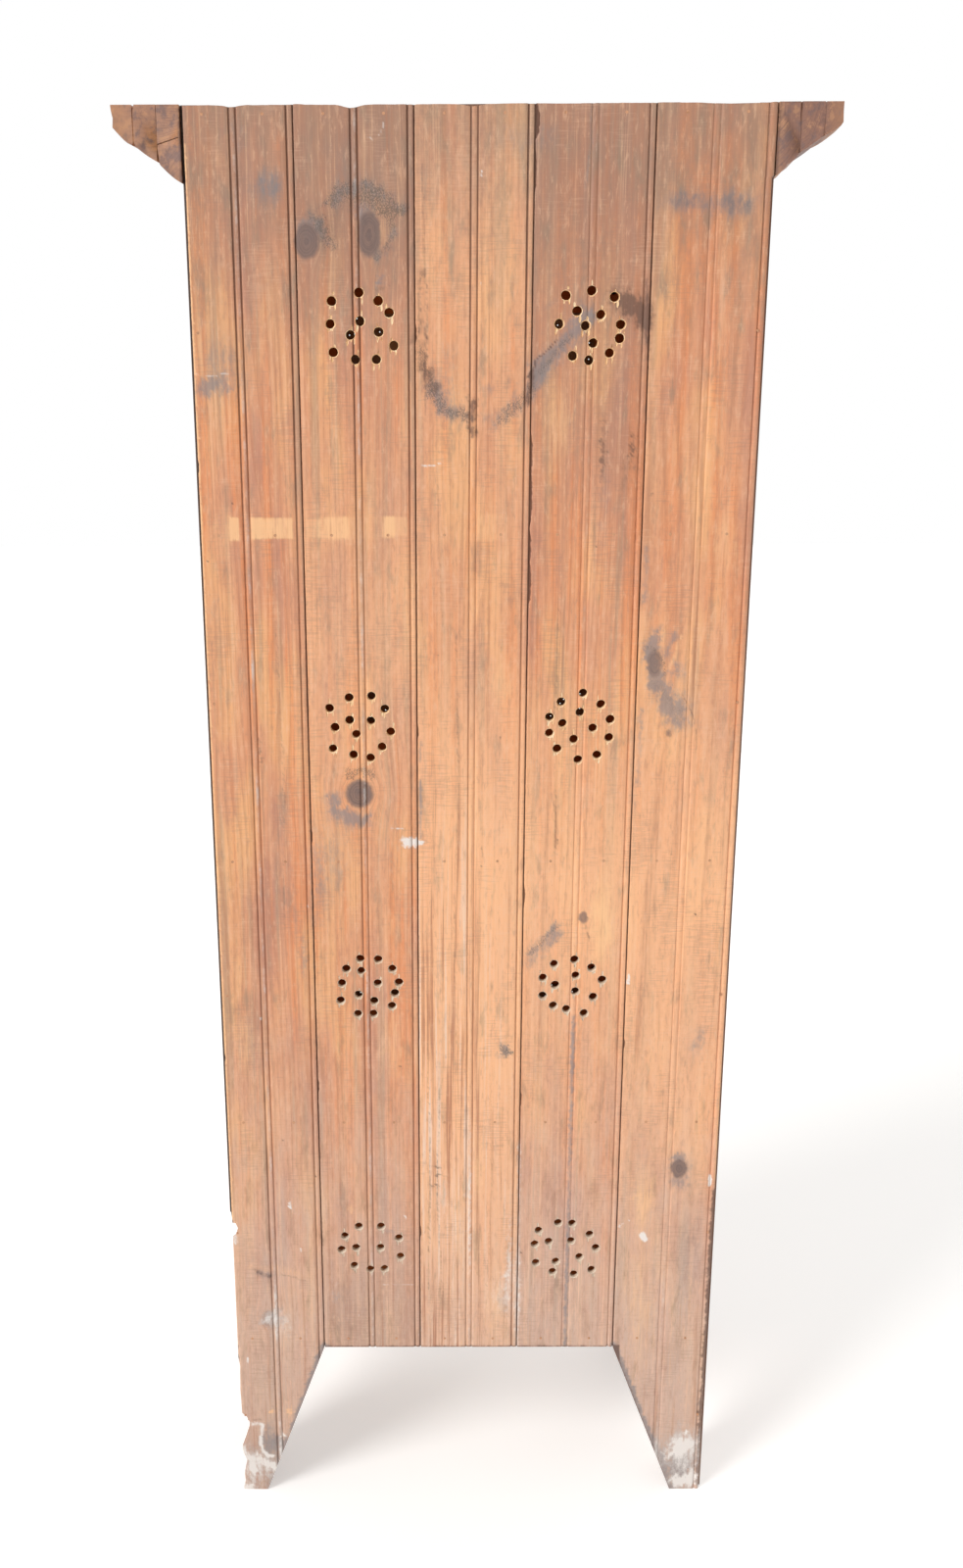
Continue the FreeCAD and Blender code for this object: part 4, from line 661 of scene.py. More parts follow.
# %% Places on the boards
KNOTS = (   # x, z, half width, half height, darkness: the grain bends round each
    (122, 1695, 12, 23, 1.0), (192, 1688, 13, 18, 0.95), (143, 1041, 16, 17, 0.95),
    (-216, 1205, 9, 17, 0.65), (-236, 1117, 4, 5, 0.6), (-275, 516, 10, 14, 0.85),
    (-138, 876, 6, 8, 0.7), (281, 284, 9, 14, 0.5), (262, 1641, 3, 4, 0.2))
STAINS = {   # kind: x, z, half width, half height, strength, and a turn in degrees where it leans
    "grey": ((192, 1698, 13, 12, 0.8), (128, 1717, 10, 11, 0.8), (140, 1765, 60, 50, 0.28),
        (143, 1044, 16, 6, 0.8), (235, 1748, 22, 20, 0.4, 10), (-229, 1728, 30, 12, 0.7),
        (-288, 1725, 26, 16, 0.75), (270, 1737, 30, 20, 0.12), (307, 1531, 20, 9, 0.75, 12),
        (-41, 692, 6, 9, 1.3, 30), (42, 1507, 9, 6, 0.5, -30), (-33, 682, 9, 4, 0.5, 20),
        (111, 1645, 5, 5, 0.85), (100, 1040, 12, 60, 0.3), (-246, 1198, 10, 10, 0.5),
        (-275, 516, 17, 24, 0.6), (-274, 493, 11, 8, 0.35), (-274, 534, 9, 6, 0.6),
        (264, 1600, 75, 130, 0.24), (238, 960, 30, 150, 0.3), (-150, 1400, 8, 90, 0.4),
        (196, 930, 12, 90, 0.38), (228, 1745, 14, 18, 0.25), (-290, 60, 30, 50, 0.35),
        (-294, 400, 24, 150, 0.36), (300, 40, 34, 60, 0.5), (-300, 40, 34, 60, 0.6),
        (170, 300, 40, 50, 0.3), (281, 285, 16, 19, 0.55), (266, 288, 7, 20, 0.4), (218, 825, 6, 36, 0.5),
        (-196, 1028, 5, 24, 0.5), (-78, 1798, 12, 17, 0.35), (312, 1270, 9, 18, 0.5),
        (-15, 1526, 8, 9, 0.4, 40), (286, 84, 10, 26, 0.65), (267, 78, 8, 14, 0.8, 30),
        (-296, 36, 12, 16, 0.75), (-319, 145, 3, 12, 0.6), (112, 419, 6, 8, 0.5, 20),
        (187, 320, 4, 10, 0.3), (268, 1795, 17, 22, 0.4), (60, 1742, 22, 40, 0.25),
        (-40, 1795, 30, 22, 0.4), (-293, 704, 10, 22, 0.35, -10), (298, 1550, 20, 40, 0.35),
        (38, 1545, 20, 55, 0.38), (172, 955, 22, 60, 0.38), (105, 960, 20, 40, 0.28),
        (38, 700, 20, 60, 0.32), (172, 470, 20, 60, 0.32), (105, 480, 22, 45, 0.32),
        (238, 600, 24, 50, 0.25), (-294, 690, 22, 50, 0.25)),
    "mould": ((135, 1735, 34, 16, 0.42), (-42, 690, 7, 9, 1.3, 30), (176, 1702, 7, 10, 0.35),
        (-275, 494, 9, 6, 0.3)),
    "brown": ((150, 1700, 40, 44, 0.16), (-229, 1728, 28, 12, 0.36), (-288, 1725, 24, 14, 0.36),
        (-176, 1614, 12, 15, 0.5, 30), (107, 1636, 8, 3, 0.7, 10), (105, 985, 30, 16, 0.25),
        (-176, 1390, 7, 80, 0.28), (-190, 1390, 4, 130, 0.35), (170, 1700, 22, 50, 0.22),
        (265, 1095, 3, 30, 0.6), (-146, 1465, 3, 52, 0.5), (-180, 1462, 3, 18, 0.6),
        (314, 46, 4, 5, 0.9, 20), (172, 325, 22, 40, 0.32), (-95, 965, 20, 50, 0.3),
        (-162, 1642, 20, 34, 0.28), (-162, 1450, 22, 50, 0.28), (-228, 1455, 20, 45, 0.26),
        (-162, 480, 22, 50, 0.26), (-162, 325, 22, 40, 0.26), (105, 1255, 22, 45, 0.25),
        (-294, 480, 20, 45, 0.24)),
    "faded": ((-162, 880, 20, 90, 0.5), (-95, 1490, 22, 70, 0.5), (298, 700, 18, 60, 0.5),
        (105, 700, 20, 70, 0.5), (-30, 1180, 22, 40, 0.5), (38, 330, 16, 100, 0.3),
        (-30, 300, 16, 110, 0.45), (-162, 860, 16, 60, 0.3), (264, 1360, 10, 30, 0.2),
        (105, 1700, 24, 30, 0.35), (-8, 520, 10, 70, 0.5), (-232, 320, 24, 190, 0.45),
        (-14, 1400, 16, 80, 0.3), (-30, 1590, 14, 60, 0.3), (164, 456, 7, 8, 0.55), (193, 452, 5, 6, 0.4),
        (279, 131, 5, 7, 0.8), (255, 131, 6, 8, 0.8), (157, 318, 8, 30, 0.3), (298, 1360, 18, 45, 0.5),
        (-294, 1350, 20, 50, 0.5), (170, 1370, 14, 50, 0.4), (-162, 700, 22, 40, 0.35),
        (-228, 480, 20, 50, 0.35), (105, 860, 22, 36, 0.4)),
    "white": ((258, 266, 15, 24, 0.35), (281, 284, 12, 15, 0.5), (-300, 70, 26, 40, 0.4),
        (-258, 330, 8, 70, 0.22), (6, 420, 5, 150, 0.4), (-50, 420, 5, 120, 0.35), (238, 455, 9, 40, 0.3),
        (188, 330, 10, 34, 0.34), (262, 300, 26, 34, 0.22), (-60, 330, 14, 60, 0.3), (265, 90, 2.5, 6, 1.1),
        (320, 4, 9, 6, 0.8), (305, 30, 24, 20, 0.25), (-299, 74, 13, 10, 0.95, -10),
        (-281, 60, 8, 5, 0.7, 50), (-302, 14, 18, 8, 0.95), (-316, 22, 5, 14, 0.6), (38, 470, 18, 60, 0.34),
        (-30, 320, 20, 60, 0.38), (-190, 275, 24, 30, 0.26))}
STROKES = {   # kind: width, strength, and the points (x, z) of a stain's line, a crack or a scratch
    "grey": ((9, 0.5, (50, 1526), (37, 1504), (11, 1496)),
        (10, 0.6, (-22, 1490), (-37, 1502), (-49, 1514), (-63, 1528)),
        (10, 0.95, (-70, 1546), (-90, 1568), (-104, 1583), (-115, 1597), (-124, 1608)),
        (3, 0.5, (-76, 1614), (-88, 1625)), (5, 0.5, (182, 1712), (173, 1698), (166, 1686)),
        (6, 0.45, (163, 1728), (150, 1741), (123, 1745), (104, 1736), (85, 1720)),
        (5, 0.45, (94, 1697), (103, 1681), (116, 1671)), (9, 0.25, (104, 1662), (108, 1630), (104, 1600)),
        (8, 1.0, (176, 1034), (170, 1018), (154, 1008), (136, 1006)),
        (7, 0.9, (-208, 1222), (-215, 1203), (-220, 1184)),
        (9, 0.8, (-218, 1184), (-228, 1170), (-238, 1152)), (13, 0.75, (-236, 1156), (-247, 1134)),
        (6, 0.9, (-218, 1244), (-213, 1222)), (5, 0.6, (-237, 1240), (-230, 1214)),
        (3, 0.6, (-201, 1345), (-202, 1313), (-201, 1280)),
        (3, 0.55, (-202, 1148), (-202, 1100), (-202, 1052)),
        (9, 0.22, (-324, 1104), (-269, 1132), (-251, 1196)), (2.6, 0.65, (68, 1058), (67, 1031), (68, 983)),
        (2.2, 0.7, (66, 1108), (69, 1082)), (6, 0.7, (-70, 828), (-85, 841), (-96, 853), (-105, 863)),
        (5, 0.5, (-68, 810), (-81, 822), (-93, 835), (-108, 853)), (5, 0.6, (292, 358), (276, 351)),
        (2.0, 0.5, (-122, 1830), (-124, 1790), (-118, 1742)), (4, 1.3, (205, 240), (284, 2)),
        (4, 1.4, (-196, 240), (-283, 2)), (3, 0.8, (-129, 740), (-129, 240))),
    "mould": ((5, 0.8, (66, 1572), (60, 1548), (50, 1530)),
        (6, 1.0, (51, 1524), (45, 1512), (37, 1504), (25, 1499), (11, 1496)),
        (6, 0.9, (-26, 1491), (-45, 1507), (-63, 1527)), (4, 0.7, (-70, 1546), (-92, 1568), (-106, 1584)),
        (6, 0.8, (163, 1728), (156, 1738), (139, 1744), (123, 1745), (110, 1740), (99, 1730), (85, 1720)),
        (5, 0.9, (131, 1730), (120, 1736), (112, 1727), (106, 1719)),
        (3, 1.3, (106, 1719), (96, 1720), (84, 1718)), (7, 0.85, (182, 1712), (173, 1698), (166, 1686)),
        (4, 0.7, (98, 1711), (94, 1697), (103, 1681), (116, 1671)),
        (5, 1.1, (156, 1066), (143, 1071), (127, 1066)),
        (6, 0.45, (-216, 1184), (-230, 1166), (-248, 1136)),
        (2, 0.9, (-203, 1225), (-214, 1222), (-227, 1205), (-228, 1189)),
        (4, 0.7, (-70, 828), (-88, 845), (-105, 863))),
    "brown": ((8, 0.55, (69, 1580), (64, 1557), (58, 1544), (47, 1528)),
        (5, 1.0, (5, 1512), (6, 1498), (5, 1477)), (3, 0.9, (-62, 1542), (-60, 1528), (-58, 1512)),
        (1.2, 0.85, (-56, 1539), (-63, 1547), (-68, 1559), (-80, 1570), (-90, 1582)),
        (3, 0.6, (-190, 1645), (-193, 1598), (-194, 1560)),
        (3, 0.6, (63, 1655), (66, 1641), (66, 1615), (67, 1590)),
        (9, 0.75, (-160, 1626), (-174, 1617), (-188, 1613), (-189, 1600)),
        (1.0, 1.1, (127, 1712), (122, 1697), (119, 1682)), (1.3, 0.7, (133, 1042), (155, 1043)),
        (1.4, 0.4, (163, 1062), (152, 1071), (137, 1074), (123, 1065), (119, 1052)),
        (1.4, 0.6, (-252, 1164), (-262, 1146), (-267, 1134), (-271, 1106)),
        (3, 0.6, (297, 361), (287, 356), (276, 350)), (2.2, 0.5, (260, 354), (244, 350), (228, 344)),
        (1.6, 0.6, (-139, 868), (-144, 856), (-146, 844)), (1.6, 0.5, (-206, 1408), (-200, 1402)),
        (1.6, 0.45, (46, 1420), (44, 1330), (40, 1250)), (1.6, 0.5, (63, 1770), (58, 1620), (60, 1490)),
        (1.8, 0.45, (24, 1240), (20, 1040), (26, 880), (22, 700)),
        (1.5, 0.45, (-100, 1300), (-96, 1120), (-102, 960)),
        (1.5, 0.45, (240, 1260), (236, 1040), (242, 860)), (1.4, 0.45, (-22, 620), (-26, 480), (-20, 330)),
        # the line at x -324, low on the last board, is a painted shadow along its outer edge
        (1.4, 0.45, (44, 640), (48, 480), (40, 320)), (3.4, 1.1, (-324, 480), (-324, 250), (-322, 10)),
        (1.6, 0.6, (-196, 240), (-283, 2)), (2, 0.5, (204, 1300), (204, 400)),
        (1.3, 0.5, (60, 700), (57, 520), (60, 330)), (4, 0.22, (52, 560), (50, 400), (56, 250)),
        (1.0, 0.6, (54, 520), (40, 519)), (1.0, 0.6, (50, 507), (34, 506)),
        (1.0, 0.5, (58, 492), (44, 491)), (2, 0.6, (307, 117), (297, 119))),
    "faded": ((3, 0.6, (-226, 1245), (-222, 1222)), (3, 0.6, (-246, 1238), (-240, 1212), (-232, 1196)),
        (9, 0.4, (300, 366), (262, 362), (226, 350)),
        (1.5, 0.9, (323.5, 1790), (323.5, 1150), (323.5, 640), (323.5, 440)),
        (1.5, 0.7, (-324, 700), (-324, 500))),
    "white": ((0.9, 0.8, (65, 1441), (54, 1440), (43, 1442)),
        (1.0, 0.6, (329, 1544), (306, 1543), (284, 1545)),
        (0.8, 0.55, (104, 1812), (108, 1800), (116, 1794), (122, 1796)), (4.5, 1.8, (86, 977), (76, 977)),
        (2.2, 1.4, (72, 977), (64, 978)), (1.0, 0.6, (104, 996), (90, 996)),
        (1.0, 0.5, (123, 339), (101, 338), (80, 338)), (3.2, 1.6, (-229, 415), (-235, 409)),
        (1.6, 1.0, (-211, 438), (-212, 437)), (1.6, 0.9, (-204, 434), (-198, 428)),
        (2.6, 1.1, (-317, 505), (-317, 492)), (2.2, 1.1, (-198, 796), (-198, 786)),
        (1.5, 0.9, (246, 466), (246, 458)), (1.3, 0.8, (234, 395), (234, 388)),
        (1.3, 0.9, (91, 446), (91, 440)), (1.2, 0.8, (297, 464), (297, 463)),
        (1.2, 0.8, (278, 257), (278, 256)), (1.6, 1.0, (312, 221), (312, 213)),
        (1.2, 0.8, (155, 290), (155, 289)), (1.3, 0.9, (211, 893), (211, 890)),
        (1.2, 0.9, (275, 737), (275, 735)), (1.3, 0.9, (-3, 1760), (-3, 1756)),
        (1.3, 0.8, (-3, 1644), (-3, 1640)), (1.6, 0.9, (-301, 93), (-304, 98)),
        (2.2, 0.95, (294, 110), (297, 94), (298, 77), (295, 65), (288, 57), (281, 57)),
        (4.5, 0.75, (300, 55), (292, 46), (284, 39), (277, 37)),
        (3.5, 0.75, (324, 74), (321, 62), (314, 52), (311, 42), (310, 34)), (3, 0.35, (71, 420), (71, 242)),
        (3, 0.45, (-62, 560), (-62, 242)), (3, 0.9, (322, 419), (322, 404)),
        (3, 0.6, (309, 111), (299, 112)))}
COVERED = (   # from x, to x, from z, to z, strength: a band that a batten covered for years
    (280, 290, 1355, 1381, 0.80), (216, 266, 1356, 1381, 0.85), (151, 201, 1356, 1381, 0.45),
    (80, 110, 1358, 1382, 0.5), (96, 156, 1354, 1383, 0.35), (-62, 71, 1352, 1384, 0.25))
NAIL_DOTS = (   # x and z of brown stains round sunk nails
    (-9, 969), (-9, 945), (-92, 1382), (-7, 1344), (-142, 1345), (286, 1398), (199, 1318), (318, 1330),
    (-247, 961), (46, 1215), (-30, 1112), (96, 668), (-66, 388), (210, 505), (-280, 880), (252, 560))


def rows_of(marks):
    """Every mark with its kind."""
    return [(kind, mark) for kind, rows in marks.items() for mark in rows]


print(len(KNOTS), "knots,", len(rows_of(STAINS)), "stains,", len(rows_of(STROKES)), "lines and",
      len(COVERED), "covered places")

# %% [markdown]
# ## Tone from board to board
# No two boards took the stain alike. Each got darker at the top under the cornice, where smoke
# and hands reach, and paler towards the floor. A few heights with a lightness for each board
# are enough, because the noise in the material breaks up what lies between.

# %% Attributes for every vertex
TONE_HEIGHTS = (0, 300, 600, 920, 1250, 1480, 1680, 1830)
TONES = (   # lightness of each board at those heights, from -1 dark to 1 light
    (-0.5, -0.1, 0.2, 0.0, 0.1, -0.1, -0.5, -0.6), (-0.4, -0.5, 0.1, 0.3, 0.6, 0.2, -0.8, -0.9),
    (0.0, 0.5, 0.9, 1.1, 0.4, 0.4, 0.5, 0.3), (-0.2, -0.2, 0.4, 0.9, 0.1, -0.5, -0.7, -0.8),
    (-0.3, -0.1, 0.6, 0.9, 0.3, 0.3, -0.4, -0.6))
GRAIN = (1.0, 1.1, 0.9, 1.25, 0.5)              # how fine the grain of each board is
BOLD = {1: (0.3, 700, 300), 2: (1.0, 1250, 700), 3: (0.55, 700, 350)}   # strength, from z, full at z
BEAD_WEAR_AND_HIGHLIGHT = (0.34, 0.34, 0.2, 0.22, 0.16)       # how pale each centre bead is: some wear, and a painted highlight along its ridge
SAWN_EDGE = 239.5       # the lower end of the short boards, mm
HAIRLINE = 3            # lines thinner than this, mm, have no soft border


def soft_step(values, start, full):
    """0 before start, 1 after full and an S curve between."""
    part = np.clip((values - start) / (full - start), 0, 1)
    return part * part * (3 - 2 * part)


def near_line(x, z, points):
    """Distance of every vertex to a line through points."""
    best = np.full(len(x), 1e6)
    for (ax, az), (bx, bz) in zip(points, points[1:]):
        along = ((x - ax) * (bx - ax) + (z - az) * (bz - az)) / ((bx - ax) ** 2 + (bz - az) ** 2)
        along = np.clip(along, 0, 1)
        best = np.minimum(best, np.hypot(x - ax - along * (bx - ax), z - az - along * (bz - az)))
    return best


def store(mesh, name, values, kind="FLOAT", field="value"):
    """Keeps a value for each point of a mesh as an attribute."""
    values = np.ravel(values).astype(np.float32)
    mesh.attributes.new(name, kind, "POINT").data.foreach_set(field, values)


def put_attributes(mesh, number):
    """Works out where each vertex is among knots, stains and grooves, and stores it."""
    flat = np.empty(len(mesh.vertices) * 3, np.float32)
    mesh.vertices.foreach_get("co", flat)
    x, y, z = flat.reshape(-1, 3).T.astype(float) / MM
    made = {name: np.zeros(len(x)) for name in ("knot", "grey", "brown", "faded", "white", "mould", "bold")}
    made["flow"] = x.copy()
    if number in BOLD:
        strength, start, full = BOLD[number]
        made["bold"] = strength * soft_step(z, start, full) * (0.45 + 0.55 * soft_step(x, -20, 25))
    torn = np.array((5 * uneven(z + 0.5 * x, 19, 81) + 2.5 * uneven(1.3 * z - x, 8, 82),
                     6 * uneven(x + 0.4 * z, 17, 83) + 2.5 * uneven(x - 0.7 * z, 7, 84)))
    for kx, kz, wide, high, dark in KNOTS:
        across, up = x - kx + 0.22 * torn[0], (z - kz + 0.22 * torn[1]) * wide / high
        near = np.hypot(across, up)
        bend = across * np.minimum(1, (1.15 * wide / np.maximum(near, 0.1)) ** 2) * np.exp(-near / (9 * wide))
        made["flow"] = np.where(near <= wide, kx + 2.2 * near, made["flow"] - bend)
        made["knot"] = np.maximum(made["knot"], dark * soft_step(near, 1.4 * wide, 0.75 * wide))
    for kind, (sx, sz, wide, high, strength, *turn) in rows_of(STAINS):
        across, up = x - sx + torn[0], z - sz + torn[1]
        angle = radians(turn[0] if turn else 0)
        near = np.hypot((across * cos(angle) - up * sin(angle)) / wide,
                        (across * sin(angle) + up * cos(angle)) / high)
        made[kind] += strength * np.exp(-0.9 * near ** 2.4)
    for kind, (wide, strength, *points) in rows_of(STROKES):
        loose = min(1, max(0.25, wide / 4 - 0.4))
        near = near_line(x + loose * torn[0], z + loose * torn[1], points) / max(wide, 1.3)
        made[kind] += strength * (np.exp(-near ** 2.6) if wide < HAIRLINE else
                                  0.65 * np.exp(-near ** 2.2) + 0.35 * np.exp(-(near / 2.1) ** 2))
    for left, right, low, high, strength in COVERED:
        inside = np.minimum(np.minimum(x - left, right - x), np.minimum(z - low, high - z))
        made["faded"] += strength * soft_step(inside, -3.0, 2.5)
    for sx, sz in NAIL_DOTS:
        made["brown"] += 1.1 * np.exp(-(np.hypot(x - sx, z - sz) / 1.6) ** 2)
    deep = FACE - y
    # Quirks and joints are darkened by their depth: partly grime that settles there, and partly painted shade
    # in the grooves, which the side weight makes weaker on the last two boards.
    groove_shade_weight = 0.45 + 0.55 * soft_step(x, -140, -50)
    made["grime"] = soft_step(deep, 0.35, 1.5) * (0.5 + 0.5 * soft_step(z, 1300, 1700)) * groove_shade_weight
    joint = np.min([np.abs(x - low) for low, *_ in BOARDS[:4]], 0)
    made["grime"] = np.maximum(made["grime"], soft_step(deep, 0.3, 1.3) * soft_step(joint, 5.5, 2.0))
    made["white"] += 0.35 * soft_step(z, 200, 0)
    # The centre bead is made paler: some wear, and a painted highlight along its ridge.
    bead = soft_step(np.abs(x - BOARDS[number][3] + 1), 3.4, 1.2)
    made["white"] += BEAD_WEAR_AND_HIGHLIGHT[number] * bead * (1 + 0.5 * uneven(z, 140, number))
    # A painted shadow line: the lower end of the three short boards is darkened.
    made["brown"] += 0.9 * soft_step(z, SAWN_EDGE + 2, SAWN_EDGE) * (abs(x) < BOARDS[0][0])
    made["tone"] = np.interp(z, TONE_HEIGHTS, TONES[number])
    made["flow"] *= GRAIN[number]
    for name, values in made.items():
        store(mesh, name, values)


def stands_for(piece, node, body="case"):
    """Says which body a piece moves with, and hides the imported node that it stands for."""
    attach(piece, body)
    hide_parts(node)
    return piece


for number, board in enumerate(boards):
    mesh = board.data
    slots = np.zeros(len(mesh.polygons), np.int32)
    mesh.polygons.foreach_get("material_index", slots)
    finishes = [beaded_pine] + [m for m in mesh.materials if m not in (beaded_pine, None)]
    turned = [finishes.index(m) if m in finishes else 0 for m in mesh.materials]
    slots = np.array(turned, np.int32)[np.minimum(slots, len(turned) - 1)]
    mesh.materials.clear()
    for finish in finishes:
        mesh.materials.append(finish)
    mesh.polygons.foreach_set("material_index", slots)
    put_attributes(mesh, number)
    smoothed(mesh, 38)
    stands_for(board, f"back_board_{number + 1}")
    print(board.name, len(mesh.polygons), "faces")

# %% [markdown]
# ## Solid pine for the case, the cornice and the door
# These planks show growth rings on their ends and long flames on their faces, because a plank
# is a slice through a trunk. A flat wood texture gives both faces the same look. Here the rings
# are rounds about a pith line, which each piece keeps in an attribute, so faces, edges and ends
# agree with each other. The same tree is built for grain that runs along X, Y or Z.

# %% Pine with rings about a pith
def pine(name, along, base, light, dark, end, extra=(), bloom=0.35, handled=()):
    """Stained pine whose grain runs along axis 0, 1 or 2, with its light, dark and end tints.

    Round each handled place (x, y, z) the stain is dark and greasy from hands."""
    made, tree, shader = fresh_material(name)
    place = millimetres(tree)
    pith = add(tree, "Attribute", out=1, attribute_name="pith")
    local = add(tree, "VectorMath", (place, pith), operation="SUBTRACT")

    def lengthwise(thin, long):
        return tuple(long if axis == along else thin for axis in range(3))

    drive = grown(tree, (
        ("streak", local, lengthwise(4.5, 230), 4, 0.6), ("fibre", local, lengthwise(1.1, 36), 2, 0.55),
        ("bloom", local, lengthwise(26, 90), 5, 0.62), ("glow", local, lengthwise(50, 260), 2, 0.5),
        ("pore", local, lengthwise(1.6, 7), 2, 0.5), ("blotch", place, (13, 40, 15), 4, 0.66)))
    sized = tuple(1 / s for s in lengthwise(60, 420))
    wobble = add(tree, "VectorMath", (local, sized), operation="MULTIPLY")
    wobble = add(tree, "TexNoise", {"Vector": wobble, "Scale": 1.0, "Detail": 2.0}, out=1)
    wobble = add(tree, "VectorMath", (wobble, (0.5, 0.5, 0.5)), operation="SUBTRACT")
    wobble = add(tree, "VectorMath", {0: wobble, "Scale": 44.0}, operation="SCALE")
    across = add(tree, "VectorMath", (local, lengthwise(1.0, 0.03)), operation="MULTIPLY")
    across = add(tree, "VectorMath", (across, wobble))
    ring = add(tree, "VectorMath", (across,), out=1, operation="LENGTH")
    ring = add(tree, "Math", (ring, 6.0), operation="DIVIDE")
    ring = add(tree, "Math", (ring,), operation="FRACT")
    facing = add(tree, "TexCoord", out=1)
    facing = add(tree, "VectorMath", (facing, lengthwise(0.0, 1.0)), out=1, operation="DOT_PRODUCT")
    facing = add(tree, "Math", (facing,), operation="ABSOLUTE")
    split = add(tree, "SeparateXYZ", (place,)).node.outputs
    aside = add(tree, "Math", (split["X"],), operation="ABSOLUTE")
    drive.update(X=split["X"], Y=split["Y"], Z=split["Z"], aside=aside, ring=ring, facing=facing)
    hands = []
    for spot in handled:
        away = add(tree, "VectorMath", (place, spot), out=1, operation="DISTANCE")
        drive[spot] = add(tree, "Math", (drive["bloom"], 70.0, away), operation="MULTIPLY_ADD")
        hands.append((spot, 105, 45, 0.55, "#6A442E"))
    paint = stained(tree, colour(base), drive, (
        ("glow", 0.46, 0.68, 0.55, light), ("glow", 0.50, 0.30, 0.50, dark), ("ring", 0.42, 0.94, 0.42, dark),
        ("streak", 0.52, 0.74, 0.50, dark), ("streak", 0.46, 0.26, 0.45, light),
        ("bloom", 0.50, 0.72, bloom, "#8E786C"), ("fibre", 0.52, 0.80, 0.40, dark),
        ("facing", 0.75, 0.97, 0.72, end), ("pore", 0.66, 0.78, 0.35, "#4A3428"), *extra, *hands))
    relief = add(tree, "Math", (ring, 0.35, drive["fibre"]), operation="MULTIPLY_ADD")
    satin(tree, shader, paint, drive["streak"], 0.50, relief, 0.35)
    return made


BROWN = ("#B47F5B", "#CD9A72", "#8A593B", "#7A4F38")        # base, light, dark and end tints
WARM = ("#BD8259", "#D6A070", "#935E3C", "#8A6048")
BARE = ("#C9A27A", "#DDBB93", "#A37A54", "#9A7350")
DUSTY_FOOT = ("Z", 110, 0, 0.45, "#B9A498")
# The Y coats on the upright case pine paint the side planks' rear edges beside the boards nearly black on one
# plank and dark brown on the other: painted shade in the narrow gap there.
case_upright = pine("stained_case_pine_upright", 2, *BROWN, handled=((285, -160, 1056),),
                    extra=(("Y", 224.7, 225.2, 0.92, "#2A211E"), DUSTY_FOOT))
case_shaded_edge_brown = pine("stained_case_pine_upright_brown_edge", 2, *BROWN,
                 extra=(("Y", 224.7, 225.2, 0.85, "#6E4C3C"), DUSTY_FOOT))
case_level = pine("stained_case_pine_level", 0, *BROWN)
cornice_level = pine("stained_cornice_pine_level", 0, *WARM)
# On the cornice returns the first aside coat is painted shade: a dark strip along the inner 4 mm of each end
# stands for the shadow in the gap beside the boards.
cornice_deep = pine("stained_cornice_pine_deep", 1, *WARM[:3], "#A9806C", bloom=0.6, extra=(
    ("aside", 332, 328, 0.8, "#5A3D2E"), ("X", -329, -340, 0.50, "#7A5650"),
    ("blotch", 0.50, 0.64, 0.75, "#7A625E"), ("blotch", 0.47, 0.36, 0.60, "#C8946E"),
    ("bloom", 0.50, 0.62, 0.55, "#6E5048"), ("aside", 378, 396, 0.35, "#C08A60")))
door_upright = pine("stained_door_pine_upright", 2, *WARM, handled=((217, -158, 1086), (226, -158, 1130)))
door_level = pine("stained_door_pine_level", 0, *WARM)
inside_level = pine("bare_inside_pine_level", 0, *BARE)
inside_deep = pine("bare_inside_pine_deep", 1, *BARE)
rubbed_pine = pine("rubbed_pine_edges", 2, "#C08B62", "#DDB084", "#8A5A3B", "#8A5A3B")
print("pine finishes:", [m.name for m in bpy.data.materials if "pine" in m.name])

# %% [markdown]
# ## Tin, iron and turned wood
# Tinplate is thin steel dipped in tin: grey, faintly spangled, with rust where it was punched.
# Hinges and nails are iron, brown with old rust and bright where they rub. The knob is hardwood,
# turned on a lathe, dark and polished by hands. Metals keep the usual IOR and are told apart by
# colour and roughness.

# %% Metals and hardwood
def metal(name, base, light, dark, rust, grain, rough, rusted, metallic=1.0, struck=0.0):
    """A mottled metal with patches of rust, darker where it was struck; grain is its mottling in mm."""
    made, tree, shader = fresh_material(name)
    place = millimetres(tree)
    drive = grown(tree, (("mottle", place, (grain,) * 3, 4, 0.6), ("patch", place, (grain * 6,) * 3, 5, 0.6),
                         ("speck", place, (grain / 4,) * 3, 2, 0.5)))
    paint = stained(tree, colour(base), drive, (
        ("mottle", 0.50, 0.72, 0.45, light), ("mottle", 0.48, 0.28, 0.45, dark),
        ("patch", rusted, rusted + 0.10, 0.85, rust), ("speck", rusted + 0.1, rusted + 0.2, 0.7, rust)))
    if struck:
        drive["struck"] = add(tree, "Attribute", out=2, attribute_name="struck")
        paint = stained(tree, paint, drive, (("struck", 0.15, 0.85, struck, "#4A423A"),))
    feed(shader, {
        "Base Color": paint,
        "Metallic": add(tree, "MapRange", (drive["patch"], rusted, rusted + 0.10, metallic, 0.15)),
        "Roughness": add(tree, "MapRange", (drive["patch"], 0.35, rusted + 0.08, rough, 0.85)),
        "Normal": add(tree, "Bump", {"Height": drive["mottle"], "Distance": 0.3 * MM, "Strength": 0.3})})
    return made


